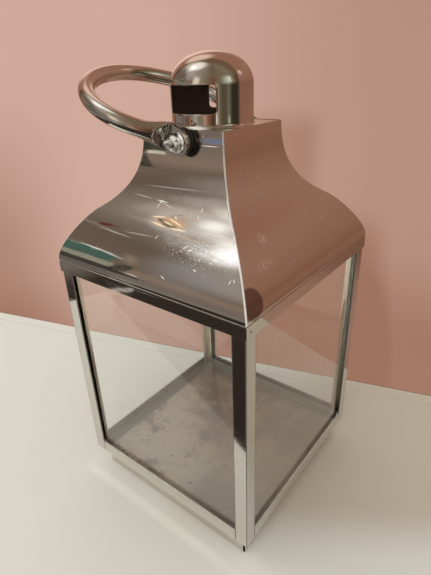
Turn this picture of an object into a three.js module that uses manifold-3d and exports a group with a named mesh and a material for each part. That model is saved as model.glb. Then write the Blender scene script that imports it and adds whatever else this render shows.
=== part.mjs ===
// Candle lantern: a glazed square body of sheet steel on a plinth pan, an ogee roof, a domed
// chimney cap and a tube bail. Millimetres, +Z up. The origin is the middle of the plinth's
// underside. The front is -Y, the right side +X, and the door is in the rear side, +Y.

import * as THREE from "three";
import { mergeVertices } from "three/addons/utils/BufferGeometryUtils.js";
import Module from "manifold-3d";

const wasm = await Module();
wasm.setup();

// ---- driving dimensions -------------------------------------------------------------------

const CLEAR = 0.3; // gap between pieces that touch in the real lantern
const RUNNING = 0.3; // gap round a pin or bolt in its hole

const PLINTH_INSET = 8; // from the body's outer faces in to the plinth's
const PLINTH_HEIGHT = 23.7;
const PLINTH_SHEET = 1;
const PLINTH_SEAM = 1; // open slot down each folded corner

const BODY_SIDE = 200; // across the outside of the posts
const GLAZED_HEIGHT = 214; // from the feet of the posts to the header's lower edge
const POST_LEG = 12.3;
const POST_SHEET = 1.2;
const POST_FOOT_RADIUS = 3;

const TRAY_SHEET = 1.2;
const RAIL_HEIGHT = 12.4;

const HEADER_HEIGHT = 10;
const HEADER_SHEET = 0.8;
const HEADER_FLANGE = 9;

const ROOF_SHEET = 1;
const ROOF_HEIGHT = 109.7;
const EAVE_OVERHANG = 0.3; // beyond the header band
const EAVE_TUCK = 0.6; // how far the turned lip draws in below the eave
const EAVE_LIP_HEIGHT = 2.2;
const EAVE_LIP_WIDTH = 8;
const NECK_SIDE = 81.2;
const SHOULDER_RUN = 29.6; // from the eave in to the point where the ogee turns over
const SHOULDER_RISE = 43.7;
const SHOULDER_SLOPE = THREE.MathUtils.degToRad(33.3);
const EAVE_PULL = 11.7; // lengths of the four curve handles of the ogee
const SHOULDER_PULL = 10.5;
const SWEEP_PULL = 22.5;
const NECK_PULL = 33;
const ROOF_STEPS = 10;

const NECK_PLATE_SHEET = 1;
const NECK_PLATE_DROP = 0.8; // below the neck's top edge
const VENT_RADIUS = 28;

const CAP_RADIUS = 33;
const CAP_SHEET = 0.9;
const CAP_TUBE_HEIGHT = 27.5;
const CAP_DOME_HEIGHT = 25;
const CAP_DOME_POWER = 2.3; // 2 is a plain ellipse
const WINDOW_WIDTH = 45;
const WINDOW_HEIGHT = 20;
const WINDOW_SILL = 9.5; // above the chimney cap's lower rim
const WINDOW_RADIUS = 2.5;
const CAP_STEPS = 7;
const CAP_SIDES = 36;

const GLASS = 2;
const PANE_SETBACK = 1.9; // from the inside of a post's leg to the pane
const PANE_TOP_LAP = 7; // how far a pane reaches up behind the header
const PANE_END_GAP = 0.4;
const INNER_LEG = 7;
const INNER_SHEET = 1;

const REBATE = 5.8; // depth of the rear rebate that takes the door
const DOOR_GAP = 0.5;
const DOOR_SIDE_GAP = 1.4;
const DOOR_THICKNESS = 3.5;
const DOOR_BAR = 11;
const DOOR_GLASS_LAP = 4.6;
const DOOR_GROOVE_SLACK = 0.4;
const SILL_TUCK = 0.3; // how far the sill and the door stay inside the body's outer faces
const DOOR_TUCK = 0.5;

const HINGE_INSET = 2.2; // from the door's edge to the axis of its pins
const HINGE_PIN_RADIUS = 0.9;
const HINGE_HEAD_RADIUS = 2;
const HINGE_HEAD_HEIGHT = 0.8;
const HINGE_REACH = 6; // length of pin inside the door

const KNOB_HEIGHT = 106; // above the feet of the posts
const KNOB_INSET = 3.2; // from the door's edge
const KNOB_RADIUS = 3.8;
const KNOB_FOOT_RADIUS = 3;
const KNOB_NECK_RADIUS = 2.2;
const KNOB_NECK = 2.4;
const KNOB_TAIL_RADIUS = 1.4;
const KNOB_TAIL = 2.2;
const MAGNET_RADIUS = 4;

const PIVOT_DROP = 9; // from the neck's top edge down to the bail's axis
const PIVOT_X = 4; // the bolts stand this far to the right of the middle
const BOLT_RADIUS = 3;
const BOLT_TIP = 6.2; // length that stands out beyond the nut
const BOLT_CROWN = 1.5;
const BOLT_HEAD_RADIUS = 5.2;
const BOLT_HEAD_HEIGHT = 3.2;
const NUT_ACROSS_FLATS = 10;
const NUT_HEIGHT = 5;
const NUT_CHAMFER = 0.8;
const WASHER_RADIUS = 7.7;
const WASHER_THICKNESS = 1.2;
const SPACER_RADIUS = 10;
const SPACER_STAND = 5.9; // from the neck's side out to the face that the bail turns on

const BAIL_TUBE_RADIUS = 6.6;
const BAIL_WALL = 1;
const BAIL_TAB_RADIUS = 10.2;
const BAIL_TAB_THICKNESS = 2.5;
const BAIL_TAB_SQUARENESS = 8; // exponent of the pressed end's outline; a round tube has 2
const BAIL_BEND_GAP = 3.5; // from the washer's rim to where the arm bends outwards
const BAIL_REACH = 121.3; // from the bolts' axis to the middle of the tube at the far end
const BAIL_SPLAY = 46.4; // how the arm's curve leaves the tab: along it and outwards from it
const BAIL_FLARE = 55.1;
const BAIL_GRIP = 54; // half length of the curve's handle along the hand grip
const BAIL_BLEND = 14; // length over which the pressed end grows into the round tube
const BAIL_TILT = THREE.MathUtils.degToRad(23.2); // above level, leaning to the left
const BAIL_TAB_STEPS = 4;
const BAIL_STEPS = 20;
const BAIL_SIDES = 16;

// ---- places worked out from them ----------------------------------------------------------

const HALF = BODY_SIDE / 2;
const FOOT_Z = PLINTH_HEIGHT + CLEAR;
const FLOOR_TOP = FOOT_Z + TRAY_SHEET;
const RAIL_TOP = FOOT_Z + RAIL_HEIGHT;
const HEADER_Z = FOOT_Z + GLAZED_HEIGHT;
const HEADER_TOP = HEADER_Z + HEADER_HEIGHT;
const HEADER_INNER = HALF + CLEAR;
const HEADER_OUTER = HEADER_INNER + HEADER_SHEET;
const POST_TOP = HEADER_TOP - HEADER_SHEET - CLEAR;

const LEG_INNER = HALF - POST_SHEET;
const LEG_EDGE = HALF - POST_LEG;
const TRAY_CORNER = LEG_INNER - CLEAR;
const PANE_OUTER = LEG_INNER - PANE_SETBACK;
const PANE_INNER = PANE_OUTER - GLASS;
const PANE_TOP = HEADER_Z + PANE_TOP_LAP;
const INNER_BACK = PANE_INNER - CLEAR;
const REBATE_Y = HALF - REBATE;
const STOP_INNER = REBATE_Y - POST_SHEET;
const REAR_WALL = STOP_INNER - CLEAR;
const REAR_WALL_INNER = REAR_WALL - TRAY_SHEET;

const DOOR_HALF = LEG_INNER - DOOR_SIDE_GAP;
const DOOR_OUTER = HALF - DOOR_TUCK;
const DOOR_INNER = DOOR_OUTER - DOOR_THICKNESS;
const DOOR_MIDDLE = (DOOR_OUTER + DOOR_INNER) / 2;
const DOOR_BOTTOM = FLOOR_TOP + DOOR_GAP;
const DOOR_TOP = HEADER_Z - DOOR_GAP;
const DOOR_HEAD_TOP = HEADER_Z + HEADER_SHEET;
const HINGE_X = HINGE_INSET - DOOR_HALF;
const KNOB_X = DOOR_HALF - KNOB_INSET;
const KNOB_Z = FOOT_Z + KNOB_HEIGHT;
const MAGNET_REACH = DOOR_INNER - CLEAR - REBATE_Y;

const ROOF_Z = HEADER_TOP + CLEAR;
const NECK_TOP = ROOF_Z + ROOF_HEIGHT;
const NECK_HALF = NECK_SIDE / 2;
const EAVE_HALF = HEADER_OUTER + EAVE_OVERHANG;
const NECK_PLATE_TOP = NECK_TOP - NECK_PLATE_DROP;
const CAP_Z = NECK_PLATE_TOP + CLEAR;
const PIVOT_Z = NECK_TOP - PIVOT_DROP;
const BAIL_TAB_STRAIGHT = WASHER_RADIUS + BAIL_BEND_GAP;

const DOOR_SIGHT = DOOR_HALF - DOOR_BAR;
const DOOR_LIGHT = [DOOR_BOTTOM + DOOR_BAR, DOOR_TOP - DOOR_BAR];
const DOOR_LAP = DOOR_GLASS_LAP + DOOR_GROOVE_SLACK;

// The pivots' faces, measured outwards from the lantern's middle plane.
const BOLT_HEAD_FACE = NECK_HALF - ROOF_SHEET - CLEAR;
const SPACER_FACE = NECK_HALF + SPACER_STAND;
const TAB_MIDDLE = SPACER_FACE + CLEAR + BAIL_TAB_THICKNESS / 2;
const WASHER_FACE = TAB_MIDDLE + BAIL_TAB_THICKNESS / 2 + CLEAR;
const NUT_FACE = WASHER_FACE + WASHER_THICKNESS + CLEAR;
const BOLT_END = NUT_FACE + NUT_HEIGHT + BOLT_TIP;

// ---- materials ----------------------------------------------------------------------------

function material(color, metalness, roughness, opacity = 1) {
  return new THREE.MeshStandardMaterial({
    color,
    metalness,
    roughness,
    opacity,
    transparent: opacity < 1,
  });
}

const finish = {
  polished: () => material(0xc9c6c1, 1, 0.12),
  satin: () => material(0xb9b6b0, 1, 0.35),
  tray: () => material(0x9f9a92, 1, 0.45),
  black: () => material(0x161514, 0, 0.6),
  magnet: () => material(0x6d6e70, 1, 0.4),
  glass: () => material(0xdfe9e4, 0, 0.04, 0.25),
};

// ---- solids -------------------------------------------------------------------------------

// The geometry's shared corners merged, and slivers of no area dropped, as a solid.
function solidOf(geometry) {
  const bare = geometry.clone();
  bare.deleteAttribute("uv");
  bare.deleteAttribute("normal");
  const merged = mergeVertices(bare, 1e-4);
  const index = merged.index.array;
  const kept = [];
  for (let i = 0; i < index.length; i += 3) {
    const [a, b, c] = [index[i], index[i + 1], index[i + 2]];
    if (a !== b && b !== c && c !== a) {
      kept.push(a, b, c);
    }
  }
  return new wasm.Manifold(
    new wasm.Mesh({
      numProp: 3,
      vertProperties: new Float32Array(merged.attributes.position.array),
      triVerts: new Uint32Array(kept),
    }),
  );
}

function geometryOf(solid) {
  const mesh = solid.getMesh();
  const geometry = new THREE.BufferGeometry();
  geometry.setAttribute("position", new THREE.BufferAttribute(mesh.vertProperties, 3));
  geometry.setIndex(new THREE.BufferAttribute(mesh.triVerts, 1));
  geometry.computeVertexNormals();
  return geometry;
}

function joined(first, ...others) {
  return geometryOf(others.reduce((sum, other) => sum.add(solidOf(other)), solidOf(first)));
}

function cut(first, ...others) {
  return geometryOf(others.reduce((rest, other) => rest.subtract(solidOf(other)), solidOf(first)));
}

function common(first, second) {
  return geometryOf(solidOf(first).intersect(solidOf(second)));
}

// Box between two values on each axis, given in either order.
function box(xs, ys, zs) {
  const spans = [xs, ys, zs].map(([a, b]) => Math.abs(b - a));
  const middles = [xs, ys, zs].map(([a, b]) => (a + b) / 2);
  return new THREE.BoxGeometry(...spans).translate(...middles);
}

function prism(shape, length, curveSegments) {
  return new THREE.ExtrudeGeometry(shape, { depth: length, bevelEnabled: false, curveSegments });
}

// An outline in plan, raised between two heights.
function upright(shape, z0, z1, curveSegments = 8) {
  return prism(shape, z1 - z0, curveSegments).translate(0, 0, z0);
}

// An outline in X and Z, run along Y between two places given in either order.
function alongY(shape, y0, y1, curveSegments = 8) {
  return prism(shape, Math.abs(y1 - y0), curveSegments)
    .rotateX(Math.PI / 2)
    .translate(0, Math.max(y0, y1), 0);
}

// An outline in Y and Z, run along X between two places given in either order.
function alongX(shape, x0, x1, curveSegments = 8) {
  return prism(shape, Math.abs(x1 - x0), curveSegments)
    .rotateX(Math.PI / 2)
    .rotateZ(Math.PI / 2)
    .translate(Math.min(x0, x1), 0, 0);
}

function outline(points) {
  return new THREE.Shape(points.map(([x, y]) => new THREE.Vector2(x, y)));
}

function square(half) {
  return outline([[-half, -half], [half, -half], [half, half], [-half, half]]);
}

function squareRing(outer, inner) {
  const shape = square(outer);
  shape.holes.push(square(inner));
  return shape;
}

function withBore(shape, radius) {
  const bore = new THREE.Path();
  bore.absarc(0, 0, radius, 0, 2 * Math.PI, true);
  shape.holes.push(bore);
  return shape;
}

function roundedRectangle(half, z0, z1, r) {
  const shape = new THREE.Shape();
  shape.absarc(half - r, z0 + r, r, -Math.PI / 2, 0);
  shape.absarc(half - r, z1 - r, r, 0, Math.PI / 2);
  shape.absarc(r - half, z1 - r, r, Math.PI / 2, Math.PI);
  shape.absarc(r - half, z0 + r, r, Math.PI, 1.5 * Math.PI);
  return shape;
}

function rod(radius, z0, z1, sides = 16) {
  return new THREE.CylinderGeometry(radius, radius, z1 - z0, sides)
    .rotateX(Math.PI / 2)
    .translate(0, 0, (z0 + z1) / 2);
}

// A washer or spacer round the Z axis.
function collar(radius, bore, z0, z1, curveSegments) {
  const shape = new THREE.Shape();
  shape.absarc(0, 0, radius, 0, 2 * Math.PI);
  return upright(withBore(shape, bore), z0, z1, curveSegments);
}

// A body turned about Z from its half outline, given as a path of radius and height that
// starts and ends on the axis and keeps the metal on its left.
function turned(path, sides, steps = 6) {
  const profile = path.getPoints(steps);
  profile[0].x = 0;
  profile.at(-1).x = 0;
  return new THREE.LatheGeometry(profile, sides).rotateX(Math.PI / 2);
}

// A closed skin over rings with the same number of points, capped at both ends.
function loft(rings) {
  const sides = rings[0].length;
  const index = [];
  for (let row = 0; row + 1 < rings.length; row++) {
    for (let side = 0; side < sides; side++) {
      const a = row * sides + side;
      const b = row * sides + ((side + 1) % sides);
      index.push(a, b, b + sides, a, b + sides, a + sides);
    }
  }
  const last = (rings.length - 1) * sides;
  for (let side = 1; side + 1 < sides; side++) {
    index.push(0, side + 1, side, last, last + side, last + side + 1);
  }
  const positions = rings.flat().flatMap((point) => point.toArray());
  const geometry = new THREE.BufferGeometry();
  geometry.setAttribute("position", new THREE.Float32BufferAttribute(positions, 3));
  geometry.setIndex(index);
  return geometry;
}

// ---- the lantern's scene graph ------------------------------------------------------------

const lantern = new THREE.Group();

function add(name, geometry, surface, parent = lantern) {
  const mesh = new THREE.Mesh(geometry, surface());
  mesh.name = name;
  parent.add(mesh);
  return mesh;
}

// ---- plinth and tray ----------------------------------------------------------------------

// Shallow pan with its four walls folded up and a slot left open down each corner.
function plinthPan() {
  const half = HALF - PLINTH_INSET;
  const inner = half - PLINTH_SHEET;
  const rise = [PLINTH_SHEET, PLINTH_HEIGHT + CLEAR];
  const pan = box([-half, half], [-half, half], [0, PLINTH_HEIGHT]);
  const hollow = box([-inner, inner], [-inner, inner], rise);
  const slots = [0, 1, 2, 3].map((turn) => {
    const reach = [inner - PLINTH_SEAM, half + CLEAR];
    return box(reach, reach, rise).rotateZ((turn * Math.PI) / 2);
  });
  return cut(pan, hollow, ...slots);
}

// Plan of the tray's walls: flush with the posts between them, drawn in behind their legs at
// the corners, and straight across the rear behind the door.
function trayPlan(inset) {
  const face = HALF - inset;
  const corner = TRAY_CORNER - inset;
  const step = LEG_EDGE - CLEAR - inset;
  const rear = REAR_WALL - inset;
  return outline([
    [-corner, -corner], [-step, -corner], [-step, -face], [step, -face],
    [step, -corner], [corner, -corner], [corner, -step], [face, -step],
    [face, step], [corner, step], [corner, rear], [-corner, rear],
    [-corner, step], [-face, step], [-face, -step], [-corner, -step],
  ]);
}

// Folded tray with a sill at the rear under the door, bored for the lower hinge pin.
function baseTray() {
  const block = upright(trayPlan(0), FOOT_Z, RAIL_TOP);
  const hollow = upright(trayPlan(TRAY_SHEET), FLOOR_TOP, HEADER_Z);
  const sill = box(
    [-TRAY_CORNER, TRAY_CORNER],
    [REAR_WALL_INNER, HALF - SILL_TUCK],
    [FOOT_Z, FLOOR_TOP],
  );
  return cut(joined(cut(block, hollow), sill), hingeBore(FOOT_Z - CLEAR, FLOOR_TOP + CLEAR));
}

// Hole for a hinge pin between two heights.
function hingeBore(z0, z1) {
  return rod(HINGE_PIN_RADIUS + RUNNING, z0, z1).translate(HINGE_X, DOOR_MIDDLE, 0);
}

add("plinth_pan", plinthPan(), finish.polished);
add("base_tray", baseTray(), finish.tray);

// ---- posts and header ---------------------------------------------------------------------

// One leg of an angle post, seen square on, with its free lower corner rounded.
function legOutline(corner, edge) {
  const r = POST_FOOT_RADIUS;
  const shape = new THREE.Shape();
  shape.moveTo(corner, FOOT_Z);
  shape.lineTo(corner, POST_TOP);
  shape.lineTo(edge, POST_TOP);
  shape.lineTo(edge, FOOT_Z + r);
  shape.quadraticCurveTo(edge, FOOT_Z, edge + r * Math.sign(corner), FOOT_Z);
  return shape;
}

// Folded angle at the left (-1) or right (+1) front corner.
function frontPost(side) {
  const inFront = alongY(legOutline(side * HALF, side * LEG_EDGE), -HALF, -LEG_INNER, 3);
  const inSide = alongX(legOutline(-HALF, -LEG_EDGE), side * LEG_INNER, side * HALF, 3);
  return joined(inFront, inSide);
}

// Rear post: one leg in the side face, the other set in as the stop that the door shuts on.
function rearPost(side) {
  const inSide = alongX(legOutline(HALF, LEG_EDGE), side * LEG_INNER, side * HALF, 3);
  const stop = box(
    [side * LEG_EDGE, side * (LEG_INNER + POST_SHEET / 2)],
    [STOP_INNER, REBATE_Y],
    [FLOOR_TOP + CLEAR, POST_TOP],
  );
  return joined(inSide, stop);
}

// Band round the tops of the posts, with a flange turned in under the roof. At the rear a
// second flange at its lower edge is the head of the door opening.
function headerBand() {
  const band = upright(squareRing(HEADER_OUTER, HEADER_INNER), HEADER_Z, HEADER_TOP);
  const flange = upright(
    squareRing(HEADER_OUTER, HEADER_OUTER - HEADER_FLANGE),
    HEADER_TOP - HEADER_SHEET,
    HEADER_TOP,
  );
  const head = box(
    [-TRAY_CORNER, TRAY_CORNER],
    [REBATE_Y + CLEAR, HEADER_OUTER],
    [HEADER_Z, DOOR_HEAD_TOP],
  );
  return cut(joined(band, flange, head), hingeBore(HEADER_Z - CLEAR, DOOR_HEAD_TOP + CLEAR));
}

add("post_front_left", frontPost(-1), finish.polished);
add("post_front_right", frontPost(1), finish.polished);
add("post_rear_left", rearPost(-1), finish.polished);
add("post_rear_right", rearPost(1), finish.polished);
add("header_band", headerBand(), finish.polished);

// ---- roof, neck plate and chimney cap -----------------------------------------------------

// The ogee from eave to neck as two curves of half width and height that meet in one slope.
function roofCurves() {
  const point = (r, z) => new THREE.Vector2(r, z);
  const eave = point(EAVE_HALF, ROOF_Z + EAVE_LIP_HEIGHT);
  const neck = point(NECK_HALF, NECK_TOP);
  const shoulder = point(EAVE_HALF - SHOULDER_RUN, ROOF_Z + EAVE_LIP_HEIGHT + SHOULDER_RISE);
  const slope = point(-Math.cos(SHOULDER_SLOPE), Math.sin(SHOULDER_SLOPE));
  const below = shoulder.clone().addScaledVector(slope, -SHOULDER_PULL);
  const above = shoulder.clone().addScaledVector(slope, SWEEP_PULL);
  return [
    new THREE.CubicBezierCurve(eave, point(eave.x, eave.y + EAVE_PULL), below, shoulder),
    new THREE.CubicBezierCurve(shoulder, above, point(neck.x, neck.y - NECK_PULL), neck),
  ];
}

// Points of half width and height up the ogee, moved outwards along its normal.
function ogee(offset) {
  return roofCurves().flatMap((curve, part) =>
    Array.from({ length: ROOF_STEPS + 1 }, (_, i) => {
      const point = curve.getPoint(i / ROOF_STEPS);
      const along = curve.getTangent(i / ROOF_STEPS);
      return [point.x + along.y * offset, point.y - along.x * offset];
    }).slice(part),
  );
}

// The four-hipped body that has the same outline from the front and from the side.
function hipped(points) {
  const mirrored = points.map(([r, z]) => [-r, z]).reverse();
  const shape = outline([...points, ...mirrored]);
  return common(alongY(shape, -BODY_SIDE, BODY_SIDE), alongX(shape, -BODY_SIDE, BODY_SIDE));
}

// The roof's outer form, grown by an offset.
function roofForm(offset) {
  const lip = [EAVE_HALF - EAVE_TUCK + offset, ROOF_Z];
  const bend = [EAVE_HALF - EAVE_TUCK / 4 + offset, ROOF_Z + EAVE_LIP_HEIGHT / 3];
  return hipped([lip, bend, ...ogee(offset)]);
}

// All four curved sides as one shell, with a lip turned in at the eave and a bolt hole in the
// front and rear of the neck.
function roofShell() {
  const inside = ogee(-ROOF_SHEET);
  const [eaveInner] = inside[0];
  const [neckInner] = inside.at(-1);
  const hollow = hipped([[eaveInner, ROOF_Z + ROOF_SHEET], ...inside, [neckInner, NECK_TOP + CLEAR]]);
  const mouth = EAVE_HALF - EAVE_LIP_WIDTH;
  const opening = box([-mouth, mouth], [-mouth, mouth], [HEADER_TOP, ROOF_Z + 2 * ROOF_SHEET]);
  const boltHoles = rod(BOLT_RADIUS + RUNNING, -HALF, HALF, 24)
    .rotateX(Math.PI / 2)
    .translate(PIVOT_X, 0, PIVOT_Z);
  return cut(roofForm(0), hollow, opening, boltHoles);
}

// The part of the shell between two hips, with half a gap left along each. It is the front
// side, turned by a number of quarter turns.
function roofSide(shell, turns) {
  const near = CLEAR / Math.SQRT2;
  const far = near + BODY_SIDE;
  const wedge = upright(outline([[0, -near], [BODY_SIDE, -far], [-BODY_SIDE, -far]]), 0, CAP_Z);
  return common(shell, wedge.rotateZ((turns * Math.PI) / 2));
}

// Square plate let into the neck, with a round vent under the cap.
function neckPlate() {
  const shape = withBore(square(NECK_HALF - ROOF_SHEET - CLEAR), VENT_RADIUS);
  return upright(shape, NECK_PLATE_TOP - NECK_PLATE_SHEET, NECK_PLATE_TOP, 20);
}

// Half outline of the cap's dome, from its shoulder up to the axis.
function dome(radius, height) {
  const swell = (value) => Math.max(value, 0) ** (2 / CAP_DOME_POWER);
  return Array.from({ length: CAP_STEPS + 1 }, (_, i) => {
    const angle = (i / CAP_STEPS) * (Math.PI / 2);
    return new THREE.Vector2(
      radius * swell(Math.cos(angle)),
      CAP_Z + CAP_TUBE_HEIGHT + height * swell(Math.sin(angle)),
    );
  });
}

// Domed tube, open below, with a window in its front and another in its rear.
function chimneyCap() {
  const inner = CAP_RADIUS - CAP_SHEET;
  const shell = new THREE.Path([
    ...dome(inner, CAP_DOME_HEIGHT - CAP_SHEET).reverse(),
    new THREE.Vector2(inner, CAP_Z),
    new THREE.Vector2(CAP_RADIUS, CAP_Z),
    ...dome(CAP_RADIUS, CAP_DOME_HEIGHT),
  ]);
  const sill = CAP_Z + WINDOW_SILL;
  const window = roundedRectangle(WINDOW_WIDTH / 2, sill, sill + WINDOW_HEIGHT, WINDOW_RADIUS);
  return cut(turned(shell, CAP_SIDES), alongY(window, -HALF, HALF, 4));
}

const roof = roofShell();
["front", "right", "rear", "left"].forEach((side, turns) => {
  add(`roof_${side}`, roofSide(roof, turns), finish.polished);
});
add("neck_plate", neckPlate(), finish.polished);
add("chimney_cap", chimneyCap(), finish.polished);

// ---- panes and the angles that hold them --------------------------------------------------

function pane(xs, ys) {
  return box(xs, ys, [FLOOR_TOP + CLEAR, PANE_TOP]);
}

// Small angle with its back at the origin and its legs along -X and +Y.
function innerAngle() {
  const shape = outline([
    [0, 0], [0, INNER_LEG], [-INNER_SHEET, INNER_LEG],
    [-INNER_SHEET, INNER_SHEET], [-INNER_LEG, INNER_SHEET], [-INNER_LEG, 0],
  ]);
  return upright(shape, FLOOR_TOP + CLEAR, POST_TOP);
}

const SIDE_PANE = [-PANE_INNER + CLEAR, REAR_WALL_INNER - PANE_END_GAP];
const FRONT_PANE_HALF = PANE_OUTER - PANE_END_GAP;
add(
  "glass_front",
  pane([-FRONT_PANE_HALF, FRONT_PANE_HALF], [-PANE_OUTER, -PANE_INNER]),
  finish.glass,
);
add("glass_left", pane([-PANE_OUTER, -PANE_INNER], SIDE_PANE), finish.glass);
add("glass_right", pane([PANE_INNER, PANE_OUTER], SIDE_PANE), finish.glass);

const INNER_CORNERS = {
  front_right: [INNER_BACK, -INNER_BACK, 0],
  rear_right: [INNER_BACK, REAR_WALL_INNER - CLEAR, Math.PI / 2],
  rear_left: [-INNER_BACK, REAR_WALL_INNER - CLEAR, Math.PI],
  front_left: [-INNER_BACK, -INNER_BACK, -Math.PI / 2],
};
for (const [corner, [x, y, turn]] of Object.entries(INNER_CORNERS)) {
  const angle = add(`inner_angle_${corner}`, innerAngle(), finish.satin);
  angle.position.set(x, y, 0);
  angle.rotation.z = turn;
}

// ---- door ---------------------------------------------------------------------------------

// Four bars as one frame, with a groove round the inside for the glass, a bore for each hinge
// pin and a hole for the knob's tail.
function doorFrame() {
  const faces = [DOOR_INNER, DOOR_OUTER];
  const past = [DOOR_INNER - CLEAR, DOOR_OUTER + CLEAR];
  const [low, high] = DOOR_LIGHT;
  const grooveX = [-DOOR_SIGHT - DOOR_LAP, DOOR_SIGHT + DOOR_LAP];
  const grooveY = [DOOR_MIDDLE - GLASS / 2 - CLEAR, DOOR_MIDDLE + GLASS / 2 + CLEAR];
  const depth = HINGE_REACH + CLEAR;
  return cut(
    box([-DOOR_HALF, DOOR_HALF], faces, [DOOR_BOTTOM, DOOR_TOP]),
    box([-DOOR_SIGHT, DOOR_SIGHT], past, DOOR_LIGHT),
    box(grooveX, grooveY, [low - DOOR_LAP, high + DOOR_LAP]),
    hingeBore(DOOR_BOTTOM - CLEAR, DOOR_BOTTOM + depth),
    hingeBore(DOOR_TOP - depth, DOOR_TOP + CLEAR),
    rod(KNOB_TAIL_RADIUS + CLEAR, -KNOB_TAIL - CLEAR, CLEAR)
      .rotateX(-Math.PI / 2)
      .translate(KNOB_X, DOOR_OUTER, KNOB_Z),
  );
}

function doorGlass() {
  const half = DOOR_SIGHT + DOOR_GLASS_LAP;
  return box(
    [-half, half],
    [DOOR_MIDDLE - GLASS / 2, DOOR_MIDDLE + GLASS / 2],
    [DOOR_LIGHT[0] - DOOR_GLASS_LAP, DOOR_LIGHT[1] + DOOR_GLASS_LAP],
  );
}

// Headed pin whose head bears at the origin, with its shank up +Z through a sheet.
function hingePin(sheet) {
  const reach = CLEAR + sheet + DOOR_GAP + HINGE_REACH;
  const half = new THREE.Path();
  half.moveTo(0, -HINGE_HEAD_HEIGHT);
  half.lineTo(HINGE_HEAD_RADIUS, -HINGE_HEAD_HEIGHT);
  half.lineTo(HINGE_HEAD_RADIUS, 0);
  half.lineTo(HINGE_PIN_RADIUS, 0);
  half.lineTo(HINGE_PIN_RADIUS, reach);
  half.lineTo(0, reach);
  return turned(half, 16);
}

// Turned knob along +Z: a tail for its hole, a waisted neck and a ball.
function knob() {
  const underside = Math.acos(KNOB_NECK_RADIUS / KNOB_RADIUS);
  const centre = CLEAR + KNOB_NECK + KNOB_RADIUS * Math.sin(underside);
  const half = new THREE.Path();
  half.moveTo(0, -KNOB_TAIL);
  half.lineTo(KNOB_TAIL_RADIUS, -KNOB_TAIL);
  half.lineTo(KNOB_TAIL_RADIUS, CLEAR);
  half.lineTo(KNOB_FOOT_RADIUS, CLEAR);
  half.quadraticCurveTo(KNOB_NECK_RADIUS, CLEAR, KNOB_NECK_RADIUS, CLEAR + KNOB_NECK);
  half.absarc(0, centre, KNOB_RADIUS, -underside, Math.PI / 2);
  return turned(half, 20);
}

add("door_frame", doorFrame(), finish.polished);
add("door_glass", doorGlass(), finish.glass);

const doorKnob = add("door_knob", knob(), finish.polished);
doorKnob.position.set(KNOB_X, DOOR_OUTER, KNOB_Z);
doorKnob.rotation.x = -Math.PI / 2;

const lowerPin = add("hinge_pin_bottom", hingePin(TRAY_SHEET), finish.satin);
lowerPin.position.set(HINGE_X, DOOR_MIDDLE, FOOT_Z - CLEAR);

const upperPin = add("hinge_pin_top", hingePin(HEADER_SHEET), finish.satin);
upperPin.position.set(HINGE_X, DOOR_MIDDLE, DOOR_HEAD_TOP + CLEAR);
upperPin.rotation.x = Math.PI;

const magnet = add("door_magnet", rod(MAGNET_RADIUS, CLEAR, MAGNET_REACH, 20), finish.magnet);
magnet.position.set(KNOB_X, REBATE_Y, KNOB_Z);
magnet.rotation.x = -Math.PI / 2;

// ---- bail and its pivots ------------------------------------------------------------------

// Middle line of the pressed end and then the tube, from one bolt's axis to the middle of the
// grip, as [distance along the arm, distance from the middle plane].
function bailArm() {
  const point = (s, y) => new THREE.Vector2(s, y);
  const bend = point(BAIL_TAB_STRAIGHT, TAB_MIDDLE);
  return new THREE.CubicBezierCurve(
    bend,
    point(BAIL_TAB_STRAIGHT + BAIL_SPLAY, TAB_MIDDLE + BAIL_FLARE),
    point(BAIL_REACH, BAIL_GRIP),
    point(BAIL_REACH, 0),
  );
}

// Stations along half of the bail: where the middle is, which way it runs, and how far it has
// changed from the pressed end (0) to the round tube (1), with the end's outline rounded off.
function bailStations(inset) {
  const stations = [];
  const ahead = new THREE.Vector2(1, 0);
  for (let i = 1; i <= BAIL_TAB_STEPS; i++) {
    const angle = (i / BAIL_TAB_STEPS) * (Math.PI / 2);
    stations.push({
      middle: new THREE.Vector2((inset - BAIL_TAB_RADIUS) * Math.cos(angle), TAB_MIDDLE),
      along: ahead,
      swell: 0,
      height: Math.sin(angle),
    });
  }
  const arm = bailArm();
  const length = arm.getLength();
  for (let i = 0; i <= BAIL_STEPS; i++) {
    const u = i / BAIL_STEPS;
    const along = arm.getTangentAt(u);
    stations.push({
      middle: arm.getPointAt(u),
      along: i === 0 ? along.add(ahead).normalize() : along,
      swell: THREE.MathUtils.smoothstep(u * length, 0, BAIL_BLEND),
      height: 1,
    });
  }
  return stations;
}

// One section of the bail as a ring of points. It is a superellipse, flat in the pressed end
// and round in the tube, drawn in by the inset for the hollow.
function bailRing({ middle, along, swell, height }, inset, mirror) {
  const { lerp } = THREE.MathUtils;
  const tall = (lerp(BAIL_TAB_RADIUS, BAIL_TUBE_RADIUS, swell) - inset) * height;
  const thick = lerp(BAIL_TAB_THICKNESS / 2, BAIL_TUBE_RADIUS, swell) - inset;
  const power = 2 / lerp(BAIL_TAB_SQUARENESS, 2, swell);
  const bulge = (value) => Math.sign(value) * Math.abs(value) ** power;
  return Array.from({ length: BAIL_SIDES }, (_, i) => {
    const angle = (2 * Math.PI * i) / BAIL_SIDES;
    const out = thick * bulge(Math.cos(angle));
    const up = tall * bulge(Math.sin(angle));
    return new THREE.Vector3(
      -(middle.x - along.y * out),
      mirror * (middle.y + along.x * out),
      up,
    );
  });
}

// Skin of the whole bail, from the front end over the grip to the rear end.
function bailSkin(inset) {
  const stations = bailStations(inset);
  const back = stations.slice(0, -1).reverse();
  return loft([
    ...stations.map((station) => bailRing(station, inset, -1)),
    ...back.map((station) => bailRing(station, inset, 1)),
  ]);
}

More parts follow.
